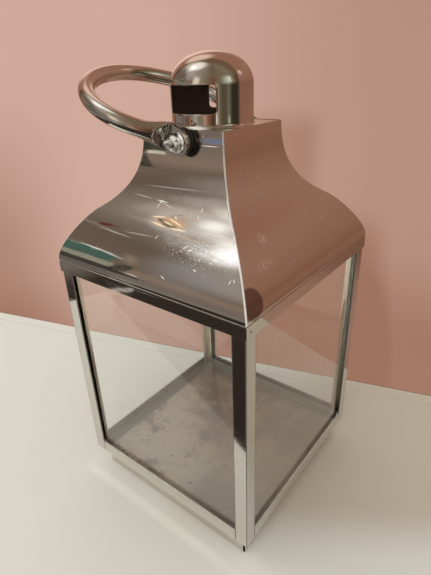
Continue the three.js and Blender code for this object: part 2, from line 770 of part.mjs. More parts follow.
// Hollow tube with pressed ends, bored through them for the bolts. The bores open the slit
// that is left between the pressed walls.
function bail() {
  const bore = rod(BOLT_RADIUS + RUNNING, -BODY_SIDE, BODY_SIDE, 24).rotateX(Math.PI / 2);
  return cut(bailSkin(0), bailSkin(BAIL_WALL), bore);
}

// Button-headed bolt along +Z from the lantern's middle plane, its head inside the neck.
function bolt() {
  const under = BOLT_HEAD_FACE - BOLT_HEAD_HEIGHT;
  const half = new THREE.Path();
  half.moveTo(0, under);
  half.quadraticCurveTo(BOLT_HEAD_RADIUS, under, BOLT_HEAD_RADIUS, BOLT_HEAD_FACE);
  half.lineTo(BOLT_RADIUS, BOLT_HEAD_FACE);
  half.lineTo(BOLT_RADIUS, BOLT_END - BOLT_CROWN);
  half.quadraticCurveTo(BOLT_RADIUS, BOLT_END, 0, BOLT_END);
  return turned(half, 24, 4);
}

// Hexagon nut with its corners turned off at both faces.
function nut() {
  const corner = NUT_ACROSS_FLATS / Math.sqrt(3);
  const flat = NUT_ACROSS_FLATS / 2;
  const top = NUT_FACE + NUT_HEIGHT;
  const half = new THREE.Path();
  half.moveTo(0, NUT_FACE);
  half.lineTo(flat, NUT_FACE);
  half.lineTo(corner, NUT_FACE + NUT_CHAMFER);
  half.lineTo(corner, top - NUT_CHAMFER);
  half.lineTo(flat, top);
  half.lineTo(0, top);
  const blank = common(rod(corner, NUT_FACE, top, 6), turned(half, 24));
  return cut(blank, rod(BOLT_RADIUS + RUNNING, WASHER_FACE, BOLT_END, 24));
}

// Spacer on the front (-1) or rear (1) bolt, its inner end shaped to the neck's slope.
function spacer(side) {
  const blank = collar(SPACER_RADIUS, BOLT_RADIUS + RUNNING, NECK_HALF, SPACER_FACE, 10)
    .rotateX((-side * Math.PI) / 2)
    .translate(PIVOT_X, 0, PIVOT_Z);
  return cut(blank, roofForm(CLEAR));
}

for (const [end, side] of [["front", -1], ["rear", 1]]) {
  const pivot = new THREE.Group();
  pivot.position.set(PIVOT_X, 0, PIVOT_Z);
  pivot.rotation.x = (-side * Math.PI) / 2;
  lantern.add(pivot);
  const washerEnd = WASHER_FACE + WASHER_THICKNESS;
  const washer = collar(WASHER_RADIUS, BOLT_RADIUS + RUNNING, WASHER_FACE, washerEnd, 10);
  add(`pivot_bolt_${end}`, bolt(), finish.satin, pivot);
  add(`pivot_washer_${end}`, washer, finish.polished, pivot);
  add(`pivot_nut_${end}`, nut(), finish.polished, pivot);
  add(`pivot_spacer_${end}`, spacer(side), finish.black);
}

const bailMesh = add("bail", bail(), finish.polished);
bailMesh.position.set(PIVOT_X, 0, PIVOT_Z);
bailMesh.rotation.y = BAIL_TILT;

export default lantern;
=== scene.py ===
"""Candle lantern: the looks of a glazed lantern of polished sheet steel.

Metres, +Z up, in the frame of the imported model. The front is -Y and the door is at +Y.
Sizes inside the piece functions are in millimetres and are turned into metres by `piece`.
"""
import math
from functools import reduce

import bmesh
import bpy
import numpy as np
from bpy.props import FloatProperty, FloatVectorProperty, PointerProperty
from mathutils import Matrix, Vector


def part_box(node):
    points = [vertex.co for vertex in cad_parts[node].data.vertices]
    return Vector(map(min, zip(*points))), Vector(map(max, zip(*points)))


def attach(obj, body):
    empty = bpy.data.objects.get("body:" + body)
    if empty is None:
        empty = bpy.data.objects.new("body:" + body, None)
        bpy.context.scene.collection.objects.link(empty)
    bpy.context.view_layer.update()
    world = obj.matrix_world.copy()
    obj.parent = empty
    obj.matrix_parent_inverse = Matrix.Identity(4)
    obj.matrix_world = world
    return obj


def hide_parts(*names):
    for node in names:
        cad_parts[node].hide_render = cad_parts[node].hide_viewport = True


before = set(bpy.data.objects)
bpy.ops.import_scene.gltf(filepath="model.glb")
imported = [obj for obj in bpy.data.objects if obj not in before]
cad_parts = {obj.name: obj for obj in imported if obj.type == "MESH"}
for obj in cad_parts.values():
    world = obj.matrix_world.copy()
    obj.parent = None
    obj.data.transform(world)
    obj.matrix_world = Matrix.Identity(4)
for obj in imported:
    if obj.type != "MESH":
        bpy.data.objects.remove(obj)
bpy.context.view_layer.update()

bl_info = {
    "name": "Candle Lantern",
    "version": (1, 0, 0),
    "blender": (4, 5, 0),
    "location": "3D View > Sidebar > Lantern",
    "description": "Builds a candle lantern of polished sheet steel and glass on its solids",
    "category": "Object",
}

MM = 0.001
CLEAR = 0.3  # gap that the solids leave between neighbours
ROOF_SHEET = 1.0


def corners(node):
    """Lowest and highest corner of a solid, in millimetres."""
    return tuple(np.array(corner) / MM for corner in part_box(node))


HEADER_LOW, _ = corners("header_band")
POST_LOW, POST_HIGH = corners("post_front_right")
ROOF_LOW, ROOF_HIGH = corners("roof_front")
NECK_PLATE_LOW, NECK_PLATE_HIGH = corners("neck_plate")
CAP_LOW, CAP_HIGH = corners("chimney_cap")
SPACER_LOW, SPACER_HIGH = corners("pivot_spacer_front")
WASHER_LOW, WASHER_HIGH = corners("pivot_washer_front")
NUT_LOW, NUT_HIGH = corners("pivot_nut_front")
BOLT_LOW, BOLT_HIGH = corners("pivot_bolt_front")
KNOB_LOW, KNOB_HIGH = corners("door_knob")

PIVOT = (WASHER_LOW + WASHER_HIGH) / 2  # the bail's axis runs along Y through this point


# ---- what a user may change ---------------------------------------------------------------


def length(name, about, millimetres):
    return FloatProperty(
        name=name, description=about, default=millimetres * MM, min=0.0, precision=4,
        unit="LENGTH",
    )


def colour(name, about, rgb):
    return FloatVectorProperty(
        name=name, description=about, default=rgb, size=3, min=0.0, max=1.0, subtype="COLOR",
    )


class LanternSizes(bpy.types.PropertyGroup):
    """Sizes of the lantern's dressed pieces that its solids leave open."""

    weld_radius: length("Weld radius", "Radius of the rounded weld along each hip", 1.3)
    sheet: length("Roof sheet", "Thickness of the roof's sheet", ROOF_SHEET)
    cap_sheet: length("Cap sheet", "Thickness of the chimney cap's wall", 0.9)
    thread_pitch: length("Thread pitch", "Pitch of the pivot bolts' thread", 1.0)
    thread_depth: length("Thread depth", "Depth of the pivot bolts' thread", 0.5)
    press_length: length("Press length", "How far the press mark runs up each bail arm", 12.0)
    eased_edge: length("Eased edge", "Width of the eased edges of folded sheet", 0.25)


class LanternColours(bpy.types.PropertyGroup):
    """Colours of the lantern and its stage."""

    steel: colour("Steel", "Polished steel", (0.70, 0.68, 0.64))
    plain_steel: colour("Plain steel", "Bolts, pins and inner angles", (0.50, 0.48, 0.45))
    # lit tone at the tray's front left; toward the rear the tray is painted darker as shade
    tray: colour("Tray", "The tray's worn steel", (0.84, 0.91, 0.78))
    wax: colour("Wax", "Thin wax and dust on the tray", (0.91, 0.93, 0.77))
    angle: colour("Angle steel", "Steel of the inner angles", (0.86, 0.83, 0.74))
    brass: colour("Tarnish", "Yellowed steel of the inner angles", (0.55, 0.46, 0.30))
    glass_edge: colour("Glass edge", "Green of the panes' cut edges", (0.42, 0.60, 0.36))
    # soot, painted darker still as shade inside the cap
    soot_and_shade: colour("Soot", "The inside of the chimney cap", (0.100, 0.055, 0.037))
    black: colour("Black plastic", "The spacers", (0.012, 0.011, 0.011))
    magnet: colour("Magnet", "The magnet's plating", (0.32, 0.33, 0.34))
    floor: colour("Floor", "The pale table top", (0.71, 0.69, 0.615))
    wall: colour("Wall", "The dusty pink backdrop", (0.631, 0.402, 0.328))
    wall_shade: colour("Wall shade", "The backdrop's shaded side", (0.342, 0.171, 0.114))


# ---- meshes -------------------------------------------------------------------------------


def quads(rows, columns, wrap_rows=False, wrap_columns=False):
    """Faces between neighbouring points of a grid that is stored row by row."""
    row, column = np.meshgrid(
        np.arange(rows if wrap_rows else rows - 1),
        np.arange(columns if wrap_columns else columns - 1),
        indexing="ij",
    )
    below, beside = (row + 1) % rows, (column + 1) % columns
    ring = [row * columns + column, row * columns + beside,
            below * columns + beside, below * columns + column]
    return np.stack(ring, axis=-1).reshape(-1, 4)


def outward(points, faces):
    """The faces turned so that the volume inside them is positive."""
    a, b, c, d = (points[faces[:, i]] for i in range(4))
    volume = np.einsum("ij,ij->", a, np.cross(b, c)) + np.einsum("ij,ij->", a, np.cross(c, d))
    return faces if volume > 0 else faces[:, ::-1]


def piece(name, points, material, body, nodes, crease=40, ring=False, keep=None):
    """A smooth object from a grid of points in millimetres, standing for the named solids.

    Each row of the grid closes on itself, and in a ring the last row also meets the first.
    A mask by row and column says which faces to keep.
    """
    rows, columns, _ = points.shape
    faces = quads(rows, columns, wrap_rows=ring, wrap_columns=True)
    if keep is not None:
        faces = faces[keep.ravel()]
    points = points.reshape(-1, 3) * MM
    mesh = bpy.data.meshes.new(name)
    mesh.from_pydata(points.tolist(), [], outward(points, faces).tolist())
    shape = bmesh.new()
    shape.from_mesh(mesh)
    bmesh.ops.remove_doubles(shape, verts=shape.verts, dist=1e-7)
    bmesh.ops.dissolve_degenerate(shape, edges=shape.edges, dist=1e-8)
    shape.to_mesh(mesh)
    shape.free()
    return finished(name, mesh, material, body, nodes, crease)


def finished(name, mesh, material, body, nodes, crease=40):
    """The object of a mesh, shaded smooth up to a crease angle, riding on its body."""
    mesh.shade_smooth()
    mesh.set_sharp_from_angle(angle=math.radians(crease))
    made = bpy.data.objects.new(name, mesh)
    bpy.context.scene.collection.objects.link(made)
    mesh.materials.append(material)
    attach(made, body)
    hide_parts(*nodes)
    return made


def modify(made, name, kind, **settings):
    """One live modifier on an object, with its settings."""
    modifier = made.modifiers.new(name, kind)
    for key, value in settings.items():
        setattr(modifier, key, value)


def eased(node, material, body, width, turn=30):
    """A copy of a folded or cut solid with every edge sharper than the turn eased."""
    shape = bmesh.new()
    shape.from_mesh(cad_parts[node].data)
    bmesh.ops.remove_doubles(shape, verts=shape.verts, dist=1e-6)
    bmesh.ops.dissolve_limit(
        shape, angle_limit=math.radians(0.5), verts=shape.verts, edges=shape.edges,
    )
    mesh = bpy.data.meshes.new(node + "_eased")
    shape.to_mesh(mesh)
    shape.free()
    made = finished(node + "_eased", mesh, material, body, [node], turn)
    modify(made, "Eased edges", "BEVEL", width=width, segments=2, limit_method="ANGLE",
           angle_limit=math.radians(turn), harden_normals=True)


def bezier(handles, steps):
    """Points on a curve: of n + 1 handles, handle k weighs C(n, k) t^k (1 - t)^(n - k)."""
    t = np.linspace(0, 1, steps)[:, None]
    n = len(handles) - 1
    return sum(
        math.comb(n, k) * t ** k * (1 - t) ** (n - k) * np.asarray(handle, dtype=float)
        for k, handle in enumerate(handles)
    )


def circle(sides):
    """Even angles once round."""
    return np.linspace(0, 2 * math.pi, sides, endpoint=False)


def around_square(profile, radius, bulge=0.0, arc_steps=6):
    """An outline of half widths r and heights z carried round a square with rounded corners.

    Round the square, a point is (r - c) A + c B, where c is the corner's radius. Along a side
    A runs from one corner to the other and B points straight out; round a corner A stays at
    the corner and B turns through a right angle. The bulge swells the middle of each corner.
    """
    near = np.array([0.0, 0.012, 0.05, 0.12])
    along = np.concatenate([near - 1, np.linspace(-0.75, 0.75, 13), 1 - near[::-1]])
    turn = np.linspace(0, math.pi / 2, arc_steps + 2)[1:-1]
    ones = np.ones_like(along)
    a = np.concatenate([np.stack([along, -ones], 1), np.tile([1.0, -1.0], (len(turn), 1))])
    b = np.concatenate(
        [np.stack([0 * ones, -ones], 1), np.stack([np.sin(turn), -np.cos(turn)], 1)]
    )
    swell = np.concatenate([0 * ones, np.sin(2 * turn)])
    quarter = np.array([[0.0, 1.0], [-1.0, 0.0]])  # a point times this turns by 90 degrees
    powers = [np.linalg.matrix_power(quarter, i) for i in range(4)]
    a = np.concatenate([a @ power for power in powers])
    b = np.concatenate([b @ power for power in powers])
    swell = np.tile(swell, 4)[None, :, None]
    r, z = profile[:, 0], profile[:, 1]
    c = np.broadcast_to(radius, r.shape)
    lift = np.broadcast_to(bulge, r.shape)[:, None, None]
    plan = (r - c)[:, None, None] * a + c[:, None, None] * b * (1 + lift * swell)
    height = np.broadcast_to(z[:, None, None], plan.shape[:2] + (1,))
    return np.concatenate([plan, height], axis=2)


def turned(r, z, sides):
    """Rows of radii r and heights z turned round Z. A row may vary with the angle."""
    angle = circle(sides)
    return np.stack(np.broadcast_arrays(r * np.cos(angle), r * np.sin(angle), z), axis=-1)


def facing(points, side):
    """Points made along +Z moved to the bail's axis and laid along +Y or -Y."""
    x, y, z = np.moveaxis(points, -1, 0)
    return np.stack([PIVOT[0] + x, side * z, PIVOT[2] + side * -y], axis=-1)


def rounded(points, radius, steps=3):
    """A closed outline with each corner replaced by a parabola of about that radius."""
    points = np.asarray(points, dtype=float)
    ends = []
    for step in (1, -1):
        edge = np.roll(points, step, axis=0) - points
        run = np.linalg.norm(edge, axis=1, keepdims=True)
        ends.append(points + edge / run * np.minimum(radius, run / 2.5))
    handles = [corner[:, None] for corner in (ends[0], points, ends[1])]
    return bezier(handles, steps + 1).reshape(-1, 2)


EAVE_UPSTAND = 2.2  # the lip stands this tall before the roof's curve starts
SHOULDER = (-29.6, 43.7)  # from the eave to where the roof's two curves meet
SHOULDER_SLOPE = math.radians(33.3)
EAVE_PULL, BELOW_PULL, ABOVE_PULL, NECK_PULL = 11.7, 10.5, 22.5, 33.0  # the curves' handles


def ogee(offset, steps=64):
    """Half widths and heights up the roof, moved outwards along the curve's normal.

    Two cubic curves meet at the shoulder in one slope: the lower one leaves the eave
    upright and the upper one ends upright at the neck.
    """
    eave = np.array([ROOF_HIGH[0], ROOF_LOW[2] + EAVE_UPSTAND])
    neck = np.array([ROOF_SHEET - ROOF_HIGH[1], ROOF_HIGH[2]])
    slope = np.array([-math.cos(SHOULDER_SLOPE), math.sin(SHOULDER_SLOPE)])
    shoulder = eave + SHOULDER
    below, above = shoulder - BELOW_PULL * slope, shoulder + ABOVE_PULL * slope
    lower = bezier([eave, eave + (0, EAVE_PULL), below, shoulder], steps)
    upper = bezier([shoulder, above, neck - (0, NECK_PULL), neck], steps)
    points = np.concatenate([lower, upper[1:]])
    along = np.gradient(points, axis=0)
    along /= np.linalg.norm(along, axis=1, keepdims=True)
    return points + offset * np.stack([along[:, 1], -along[:, 0]], axis=1)


def reach_at(height, offset=0.0):
    """The roof's half width at a height, or that of its copy moved outwards."""
    curve = ogee(offset)
    return np.interp(height, curve[:, 1], curve[:, 0])


# ---- shaders ------------------------------------------------------------------------------


class Value:
    """A number in a shader. Python's operators on it add Math nodes."""

    def __init__(self, shader, socket):
        self.shader = shader
        self.socket = socket

    def __add__(self, other):
        return self.shader.math("ADD", self, other)

    def __radd__(self, other):
        return self.shader.math("ADD", other, self)

    def __sub__(self, other):
        return self.shader.math("SUBTRACT", self, other)

    def __rsub__(self, other):
        return self.shader.math("SUBTRACT", other, self)

    def __mul__(self, other):
        return self.shader.math("MULTIPLY", self, other)

    def __rmul__(self, other):
        return self.shader.math("MULTIPLY", other, self)

    def __truediv__(self, other):
        return self.shader.math("DIVIDE", self, other)

    def __pow__(self, other):
        return self.shader.math("POWER", self, other)

    def __neg__(self):
        return self.shader.math("MULTIPLY", self, -1.0)

    def __abs__(self):
        return self.shader.math("ABSOLUTE", self)

    def either(self, other):
        """The greater of the two."""
        return self.shader.math("MAXIMUM", self, other)

    def both(self, other):
        """The lesser of the two."""
        return self.shader.math("MINIMUM", self, other)

    def between(self, low, high):
        """0 at low and 1 at high, with a soft start and end."""
        inputs = {
            "Value": self, "From Min": min(low, high), "From Max": max(low, high),
            "To Min": float(low > high), "To Max": float(low < high),
        }
        settings = {"interpolation_type": "SMOOTHSTEP"}
        return self.shader.node("ShaderNodeMapRange", settings, inputs)

    def past(self, edge, softness):
        """0 before an edge in millimetres and 1 past it, soft by so much on either side."""
        return self.between((edge - softness) * MM, (edge + softness) * MM)


class Shader:
    """The nodes of one material or world."""

    def __init__(self, owner):
        owner.use_nodes = True
        self.owner = owner
        self.tree = owner.node_tree
        self.tree.nodes.clear()

    def node(self, kind, settings=None, inputs=None, output=0):
        """One node: its settings, then its inputs' values or links. Gives one output."""
        made = self.tree.nodes.new(kind)
        for key, value in (settings or {}).items():
            if key == "stops":
                self.set_stops(made.color_ramp, value)
            else:
                setattr(made, key, value)
        for key, value in (inputs or {}).items():
            if isinstance(value, Value):
                self.tree.links.new(value.socket, made.inputs[key])
            else:
                made.inputs[key].default_value = value
        return Value(self, made.outputs[output]) if made.outputs else made

    @staticmethod
    def set_stops(ramp, stops):
        while len(ramp.elements) < len(stops):
            ramp.elements.new(1.0)
        for element, (place, rgb) in zip(ramp.elements, stops):
            element.position = place
            element.color = (*rgb, 1.0)

    def math(self, operation, *terms):
        settings = {"operation": operation}
        return self.node("ShaderNodeMath", settings, dict(enumerate(terms)))

    def place(self):
        """Where on the piece, in metres."""
        return self.node("ShaderNodeTexCoord", output="Object")

    def split(self, vector):
        """A vector's three numbers."""
        parts = self.node("ShaderNodeSeparateXYZ", None, {0: vector}).socket.node
        return [Value(self, output) for output in parts.outputs]

    def rays(self, *names):
        """1 for each of these kinds of ray, and 0 for others."""
        path = self.node("ShaderNodeLightPath").socket.node
        return [Value(self, path.outputs[name]) for name in names]

    def outlook(self):
        """The world's direction, its rise, and its bearing and height in degrees."""
        direction = self.node("ShaderNodeTexCoord", output="Generated")
        x, y, z = self.split(direction)
        bearing = self.math("ARCTAN2", y, x) * (180 / math.pi)
        return direction, z, bearing, self.math("ARCSINE", z) * (180 / math.pi)

    def scaled(self, vector, scale, turn=(0, 0, 0)):
        """The vector turned and stretched."""
        inputs = {"Vector": vector, "Rotation": turn, "Scale": scale}
        return self.node("ShaderNodeMapping", {"vector_type": "POINT"}, inputs)

    def noise(self, vector, scale, detail=2.0, roughness=0.5, distortion=0.0):
        inputs = {"Vector": vector, "Scale": scale, "Detail": detail, "Roughness": roughness,
                  "Distortion": distortion}
        return self.node("ShaderNodeTexNoise", None, inputs, "Fac")

    def cells(self, vector, scale):
        """How far the nearest of many scattered points is, in cells."""
        inputs = {"Vector": vector, "Scale": scale}
        return self.node("ShaderNodeTexVoronoi", None, inputs, "Distance")

    def mix(self, factor, first, second, **settings):
        """Two colours by a factor, each a Value or three numbers."""
        ends = [c if isinstance(c, Value) else (*c[:3], 1.0) for c in (first, second)]
        inputs = {0: factor, 6: ends[0], 7: ends[1]}
        return self.node("ShaderNodeMix", {"data_type": "RGBA", **settings}, inputs, 2)

    def add(self, factor, first, second):
        """The first colour and a share of the second."""
        return self.mix(factor, first, second, blend_type="ADD", clamp_factor=False)

    def ramp(self, factor, stops):
        return self.node("ShaderNodeValToRGB", {"stops": stops}, {0: factor}, "Color")

    def aim(self, vector, target):
        """Cosine of the angle between a direction and a target direction."""
        target = np.array(target) / np.linalg.norm(target)
        inputs = {0: vector, 1: tuple(target)}
        return self.node("ShaderNodeVectorMath", {"operation": "DOT_PRODUCT"}, inputs, "Value")

    def bump(self, height, distance, normal=None):
        inputs = {"Height": height, "Distance": distance}
        if normal:
            inputs["Normal"] = normal
        return self.node("ShaderNodeBump", None, inputs)

    def surface(self, **inputs):
        """The Principled shader with these sockets, as the material's surface."""
        names = {key.replace("_", " ").title().replace("Ior", "IOR"): value
                 for key, value in inputs.items()}
        made = self.node("ShaderNodeBsdfPrincipled", None, names)
        self.node("ShaderNodeOutputMaterial", None, {"Surface": made})
        return self.owner


def new_material(name):
    return Shader(bpy.data.materials.new(name))


# ---- finishes -----------------------------------------------------------------------------


def spot(shader, place, centre, radii, softness=0.5, turn=(0, 0, 0)):
    """1 inside a soft ellipsoid round a point in millimetres, and 0 outside it."""
    inputs = {"Vector": place, "Location": tuple(c * MM for c in centre), "Rotation": turn,
              "Scale": tuple(radius * MM for radius in radii)}
    local = shader.node("ShaderNodeMapping", {"vector_type": "TEXTURE"}, inputs)
    reach = shader.node("ShaderNodeVectorMath", {"operation": "LENGTH"}, {0: local}, "Value")
    return reach.between(1.0, 1.0 - softness)


def stroke(shader, place, start, end, width):
    """1 along a thin spindle between two points in millimetres."""
    start, end = Vector(start), Vector(end)
    turn = (end - start).to_track_quat("X", "Z").to_euler()
    radii = ((end - start).length / 2 + width, width, width)
    return spot(shader, place, (start + end) / 2, radii, 0.7, turn)


def scratches(shader, place, turn, across, along, floor):
    """Thin lines where noise that is drawn out along one direction rises above a floor."""
    drawn = shader.scaled(place, (along, along, across), turn)
    return shader.noise(drawn, 1.0, 2.0, 0.6, 0.3).between(floor, floor + 0.05)


DIRT = (0.10, 0.07, 0.05)
DUST = (0.10, 0.09, 0.08)
# dark tone of the painted dark reflections and hollows on the fasteners
PAINTED_DARK_TONE = (0.045, 0.038, 0.030)
HOLLOW = (0.05, 0.04, 0.03)
# pale weld metal, light enough to paint the highlight along the hips
WELD_AND_HIGHLIGHT = (0.90, 0.89, 0.87)
# dark tone of the painted shade lines at the posts, and of the rivet spot
SHADE_LINE_AND_RIVET = (0.055, 0.045, 0.030)
# colour of the painted dark reflection low on the roof's right face
PAINTED_DARK_REFLECTION = (0.20, 0.17, 0.16)
THREAD_STEEL, BRIGHT_STEEL = (0.80, 0.78, 0.73), (0.97, 0.96, 0.91)


class Polish:
    """Polished steel while marks are laid on it: its tone, roughness and dullness."""

    def __init__(self, shader, place, tone, rough, dull):
        self.shader = shader
        self.place = place
        self.tone = tone
        self.rough = rough
        self.dull = dull

    def lay(self, mark, tint, rough, dull, cover=1.0):
        """A tint that covers so much of the mark, and the roughness and dullness there."""
        self.tone = self.shader.mix(mark * cover, self.tone, tint)
        self.rough = self.rough + mark * rough
        self.dull = self.dull + mark * dull

    def front(self):
        """1 on the faces across Y and 0 on those across X, which meet at the hips."""
        x, y, _ = self.shader.split(self.place)
        return (abs(y) - abs(x)).between(-0.4 * MM, 0.4 * MM)


def polished_steel(name, steel, wave=0.0004, worn=1.0, base=0.035, marks=()):
    """Mirror-polished sheet: long shallow waves, finger haze, hairlines and a few scratches.

    The marks are functions, and each lays its own marks on the polish.
    """
    shader = new_material(name)
    place = shader.place()
    film = shader.noise(place, 21.0, 4.0, 0.62, 0.4).between(0.46, 0.78)
    hairline = scratches(shader, place, (0.4, 0.9, 0.2), 2600.0, 34.0, 0.62)
    crossing = scratches(shader, place, (1.1, 0.3, 1.9), 1900.0, 26.0, 0.66)
    scratch = scratches(shader, place, (0.8, 1.7, 0.5), 900.0, 12.0, 0.735)
    pits = shader.cells(place, 190.0).between(0.12, 0.07)
    pits = pits * shader.noise(place, 33.0, 1.0).between(0.6, 0.7)
    lines = hairline.either(crossing) * 0.35 * worn
    tone = shader.mix(film * 0.22, steel, [c * 0.80 for c in steel])
    polish = Polish(
        shader, place, tone=shader.mix(pits * 0.8, tone, DIRT),
        rough=base + 0.05 * worn * film + 0.16 * lines + 0.25 * worn * scratch + 0.3 * pits,
        dull=scratch * 0.3 * worn,
    )
    for lay_marks in marks:
        lay_marks(polish)
    swell = shader.noise(place, 13.0, 1.0, 0.4)
    ripple = shader.noise(place, 47.0, 1.0, 0.4)
    normal = shader.bump(swell + 0.12 * ripple, wave)
    return shader.surface(
        base_color=polish.tone, metallic=1.0 - polish.dull.both(0.9), roughness=polish.rough,
        normal=shader.bump(lines + scratch, -0.000005, normal),
    )


# Films and smears on the roof, and painted highlights and reflections laid the same way: middle
# and radii in millimetres, tint, strength, added roughness, how matt it is, and its texture.
ROOF_FILMS_AND_PAINTED_LIGHT = (
    # painted highlight: the glare of a lamp in the haze
    ((76, -82, 286), (24, 14, 9), (0.98, 0.99, 0.99), 0.8, 0.14, 0.85, "even"),
    ((68, -84, 283), (38, 12, 9), (0.95, 0.96, 0.98), 0.75, 0.14, 0.7, "streaky"),
    ((51, -68, 297.5), (22, 12, 5), (0.98, 0.96, 0.92), 0.65, 0.1, 0.8, "even"),
    ((50, -70, 296), (28, 12, 8), (0.98, 0.96, 0.92), 0.55, 0.1, 0.8, "streaky"),
    # painted reflection of the bolt, darker round the orange below
    ((16, -71, 294.5), (34, 16, 9.5), (0.36, 0.31, 0.26), 0.95, 0.05, 0.8, "even"),
    # painted highlights, on the next three lines
    ((62, -84, 284), (34, 12, 9), (0.9, 0.91, 0.92), 0.6, 0.12, 0.6, "streaky"),
    ((62, -75, 293), (24, 12, 6), (0.9, 0.88, 0.82), 0.65, 0.1, 0.6, "streaky"),
    ((50, -84, 283), (46, 16, 20), (0.96, 0.96, 0.95), 0.9, 0.2, 0.8, "flecked"),
    ((30, -80, 288), (36, 14, 16), (0.8, 0.79, 0.76), 0.22, 0.06, 0.4, "patchy"),
    # painted highlight
    ((10, -58, 306), (44, 14, 14), (0.95, 0.94, 0.9), 0.4, 0.1, 0.6, "flecked"),
    # painted reflection of the bolt in warm light, on the next two lines
    ((11, -71, 294.5), (27, 14, 5.5), (0.72, 0.38, 0.18), 0.95, 0.05, 0.6, "streaky"),
    ((11, -71, 294.5), (21, 14, 3.4), (0.62, 0.36, 0.18), 0.5, 0.05, 0.6, "even"),
    # painted reflection, dark and bluish
    ((46, -95, 268), (62, 14, 13), (0.34, 0.35, 0.42), 0.5, 0.05, 0.35, "even"),
    ((-12, -96, 268), (14, 8, 6), (0.88, 0.7, 0.54), 0.45, 0.02, 0.2, "even"),
    # painted reflection of blue along the top of the front
    ((31, -41, 350.4), (19, 3, 3.0), (0.24, 0.34, 0.58), 0.9, 0.02, 0.3, "even"),
    ((55.1, -15.3, 308.3), (4, 3.4, 3.6), (0.22, 0.15, 0.11), 0.7, 0.2, 0.5, "patchy"),
    ((55.3, -28.8, 308), (3.2, 2.2, 2.6), (0.26, 0.18, 0.13), 0.6, 0.2, 0.5, "patchy"),
    ((62, -34, 301), (5, 3, 4), (0.28, 0.2, 0.15), 0.5, 0.2, 0.4, "patchy"),
    ((44.7, -26.3, 327.3), (2.4, 2, 2.4), (0.26, 0.18, 0.13), 0.6, 0.2, 0.4, "patchy"),
    ((88.3, -13.8, 278.1), (5, 4, 3.2), (0.34, 0.25, 0.19), 0.5, 0.2, 0.4, "patchy"),
    ((78.6, -48.2, 288.4), (7, 7, 6), (0.9, 0.86, 0.8), 0.35, 0.1, 0.45, "patchy"),
    ((90, -62, 275), (9, 14, 6), (0.92, 0.86, 0.8), 0.25, 0.1, 0.4, "patchy"),
    ((78.4, 27.6, 288.6), (1.2, 1.2, 1.2), (0.16, 0.1, 0.08), 0.8, 0.2, 0.4, "even"),
    ((50.7, 36.3, 313.7), (1.1, 1.1, 1.1), (0.16, 0.1, 0.08), 0.8, 0.2, 0.4, "even"),
    ((95, -47.2, 268.8), (1.3, 1.3, 1.3), (0.95, 0.9, 0.85), 0.8, 0.2, 0.6, "even"),
    ((47.3, -7, 320.1), (1.2, 1.2, 1.4), (0.95, 0.9, 0.85), 0.8, 0.2, 0.6, "even"),
)
# Scratches on the roof's front, and painted streaks of highlight and reflection, by kind: half
# width in millimetres, tint, strength, and each one's ends as x, z, x, z.
ROOF_STROKES_AND_PAINTED_LIGHT = (
    (0.42, (0.95, 0.95, 0.93), 0.95, (
        (-9.6, 299.4, -8.1, 307.3), (-15.5, 305.6, 0.5, 304.9), (33.6, 302.8, 33.4, 305.7),
        (34.0, 299.1, 32.6, 301.2), (12.1, 298.4, 15.7, 296.6), (5.0, 283.9, 7.0, 286.3),
        (33.7, 281.9, 37.9, 285.1), (53.5, 285.4, 56.0, 283.0), (81.1, 270.0, 82.2, 273.1),
        (83.5, 273.6, 85.4, 272.0), (49.2, 272.8, 52.4, 271.9), (22.3, 263.5, 27.5, 261.6),
        # the last of these, along the top of the front, is a painted highlight on its edge
        (62.5, 281.0, 65.4, 280.4), (38.7, 281.5, 43.0, 283.4), (17.0, 346.8, 39.5, 346.8),
    )),
    # pale streaks: painted highlight spreading from the glare
    (0.5, (0.86, 0.8, 0.7), 0.4, (
        (-43.9, 306.9, -15.5, 305.6), (-15.5, 305.6, 12.0, 301.5), (-32.8, 283.4, 7.3, 284.9),
        (-62.0, 282.5, -12.0, 280.5), (-40.0, 313.5, 38.0, 316.0),
    )),
    (1.0, (0.4, 0.26, 0.16), 0.6, (
        (4.0, 298.5, 46.0, 298.0), (14.0, 289.5, 54.0, 287.5),
    )),
    # dark streaks: painted reflection of the bolt
    (1.5, (0.1, 0.09, 0.05), 0.9, (
        (-5.0, 295.3, 14.0, 293.6), (2.0, 293.2, 22.0, 292.8),
    )),
    # orange streaks: painted reflection of the bolt in warm light
    (0.55, (0.98, 0.76, 0.52), 0.95, (
        (-10.5, 295.6, 6.0, 296.9), (6.0, 296.9, 27.0, 293.4), (-8.0, 293.0, 12.0, 291.6),
        (12.0, 291.6, 32.0, 292.0), (2.0, 295.0, 18.0, 293.0),
    )),
)
FLATTEN = 0.03  # draws the front face together in depth, so that the scratches lie on it


def roof_films_and_painted_light(polish):
    """Films, smears, painted highlights and painted reflections, each only on the pair of faces
    that its middle is on.
    """
    shader, place = polish.shader, polish.place
    front = polish.front()
    streaks = shader.scaled(place, (60, 420, 420), (0.5, 0.5, 0.3))
    flecks = scratches(shader, place, (0.3, 0.8, 0.5), 1500.0, 460.0, 0.63)
    textures = {
        "even": 1.0,
        "patchy": shader.noise(place, 420.0, 3.0, 0.6).between(0.40, 0.62),
        "streaky": shader.noise(streaks, 1.0, 2.0),
        "flecked": flecks.either(
            scratches(shader, place, (1.2, 0.4, 1.9), 1700.0, 420.0, 0.64)),
    }
    for centre, radii, tint, strength, rough, dull, texture in ROOF_FILMS_AND_PAINTED_LIGHT:
        film = spot(shader, place, centre, radii, 0.85) * strength * textures[texture]
        across_y = abs(centre[1]) > abs(centre[0])
        polish.lay(film * (front if across_y else 1 - front), tint, rough, dull)


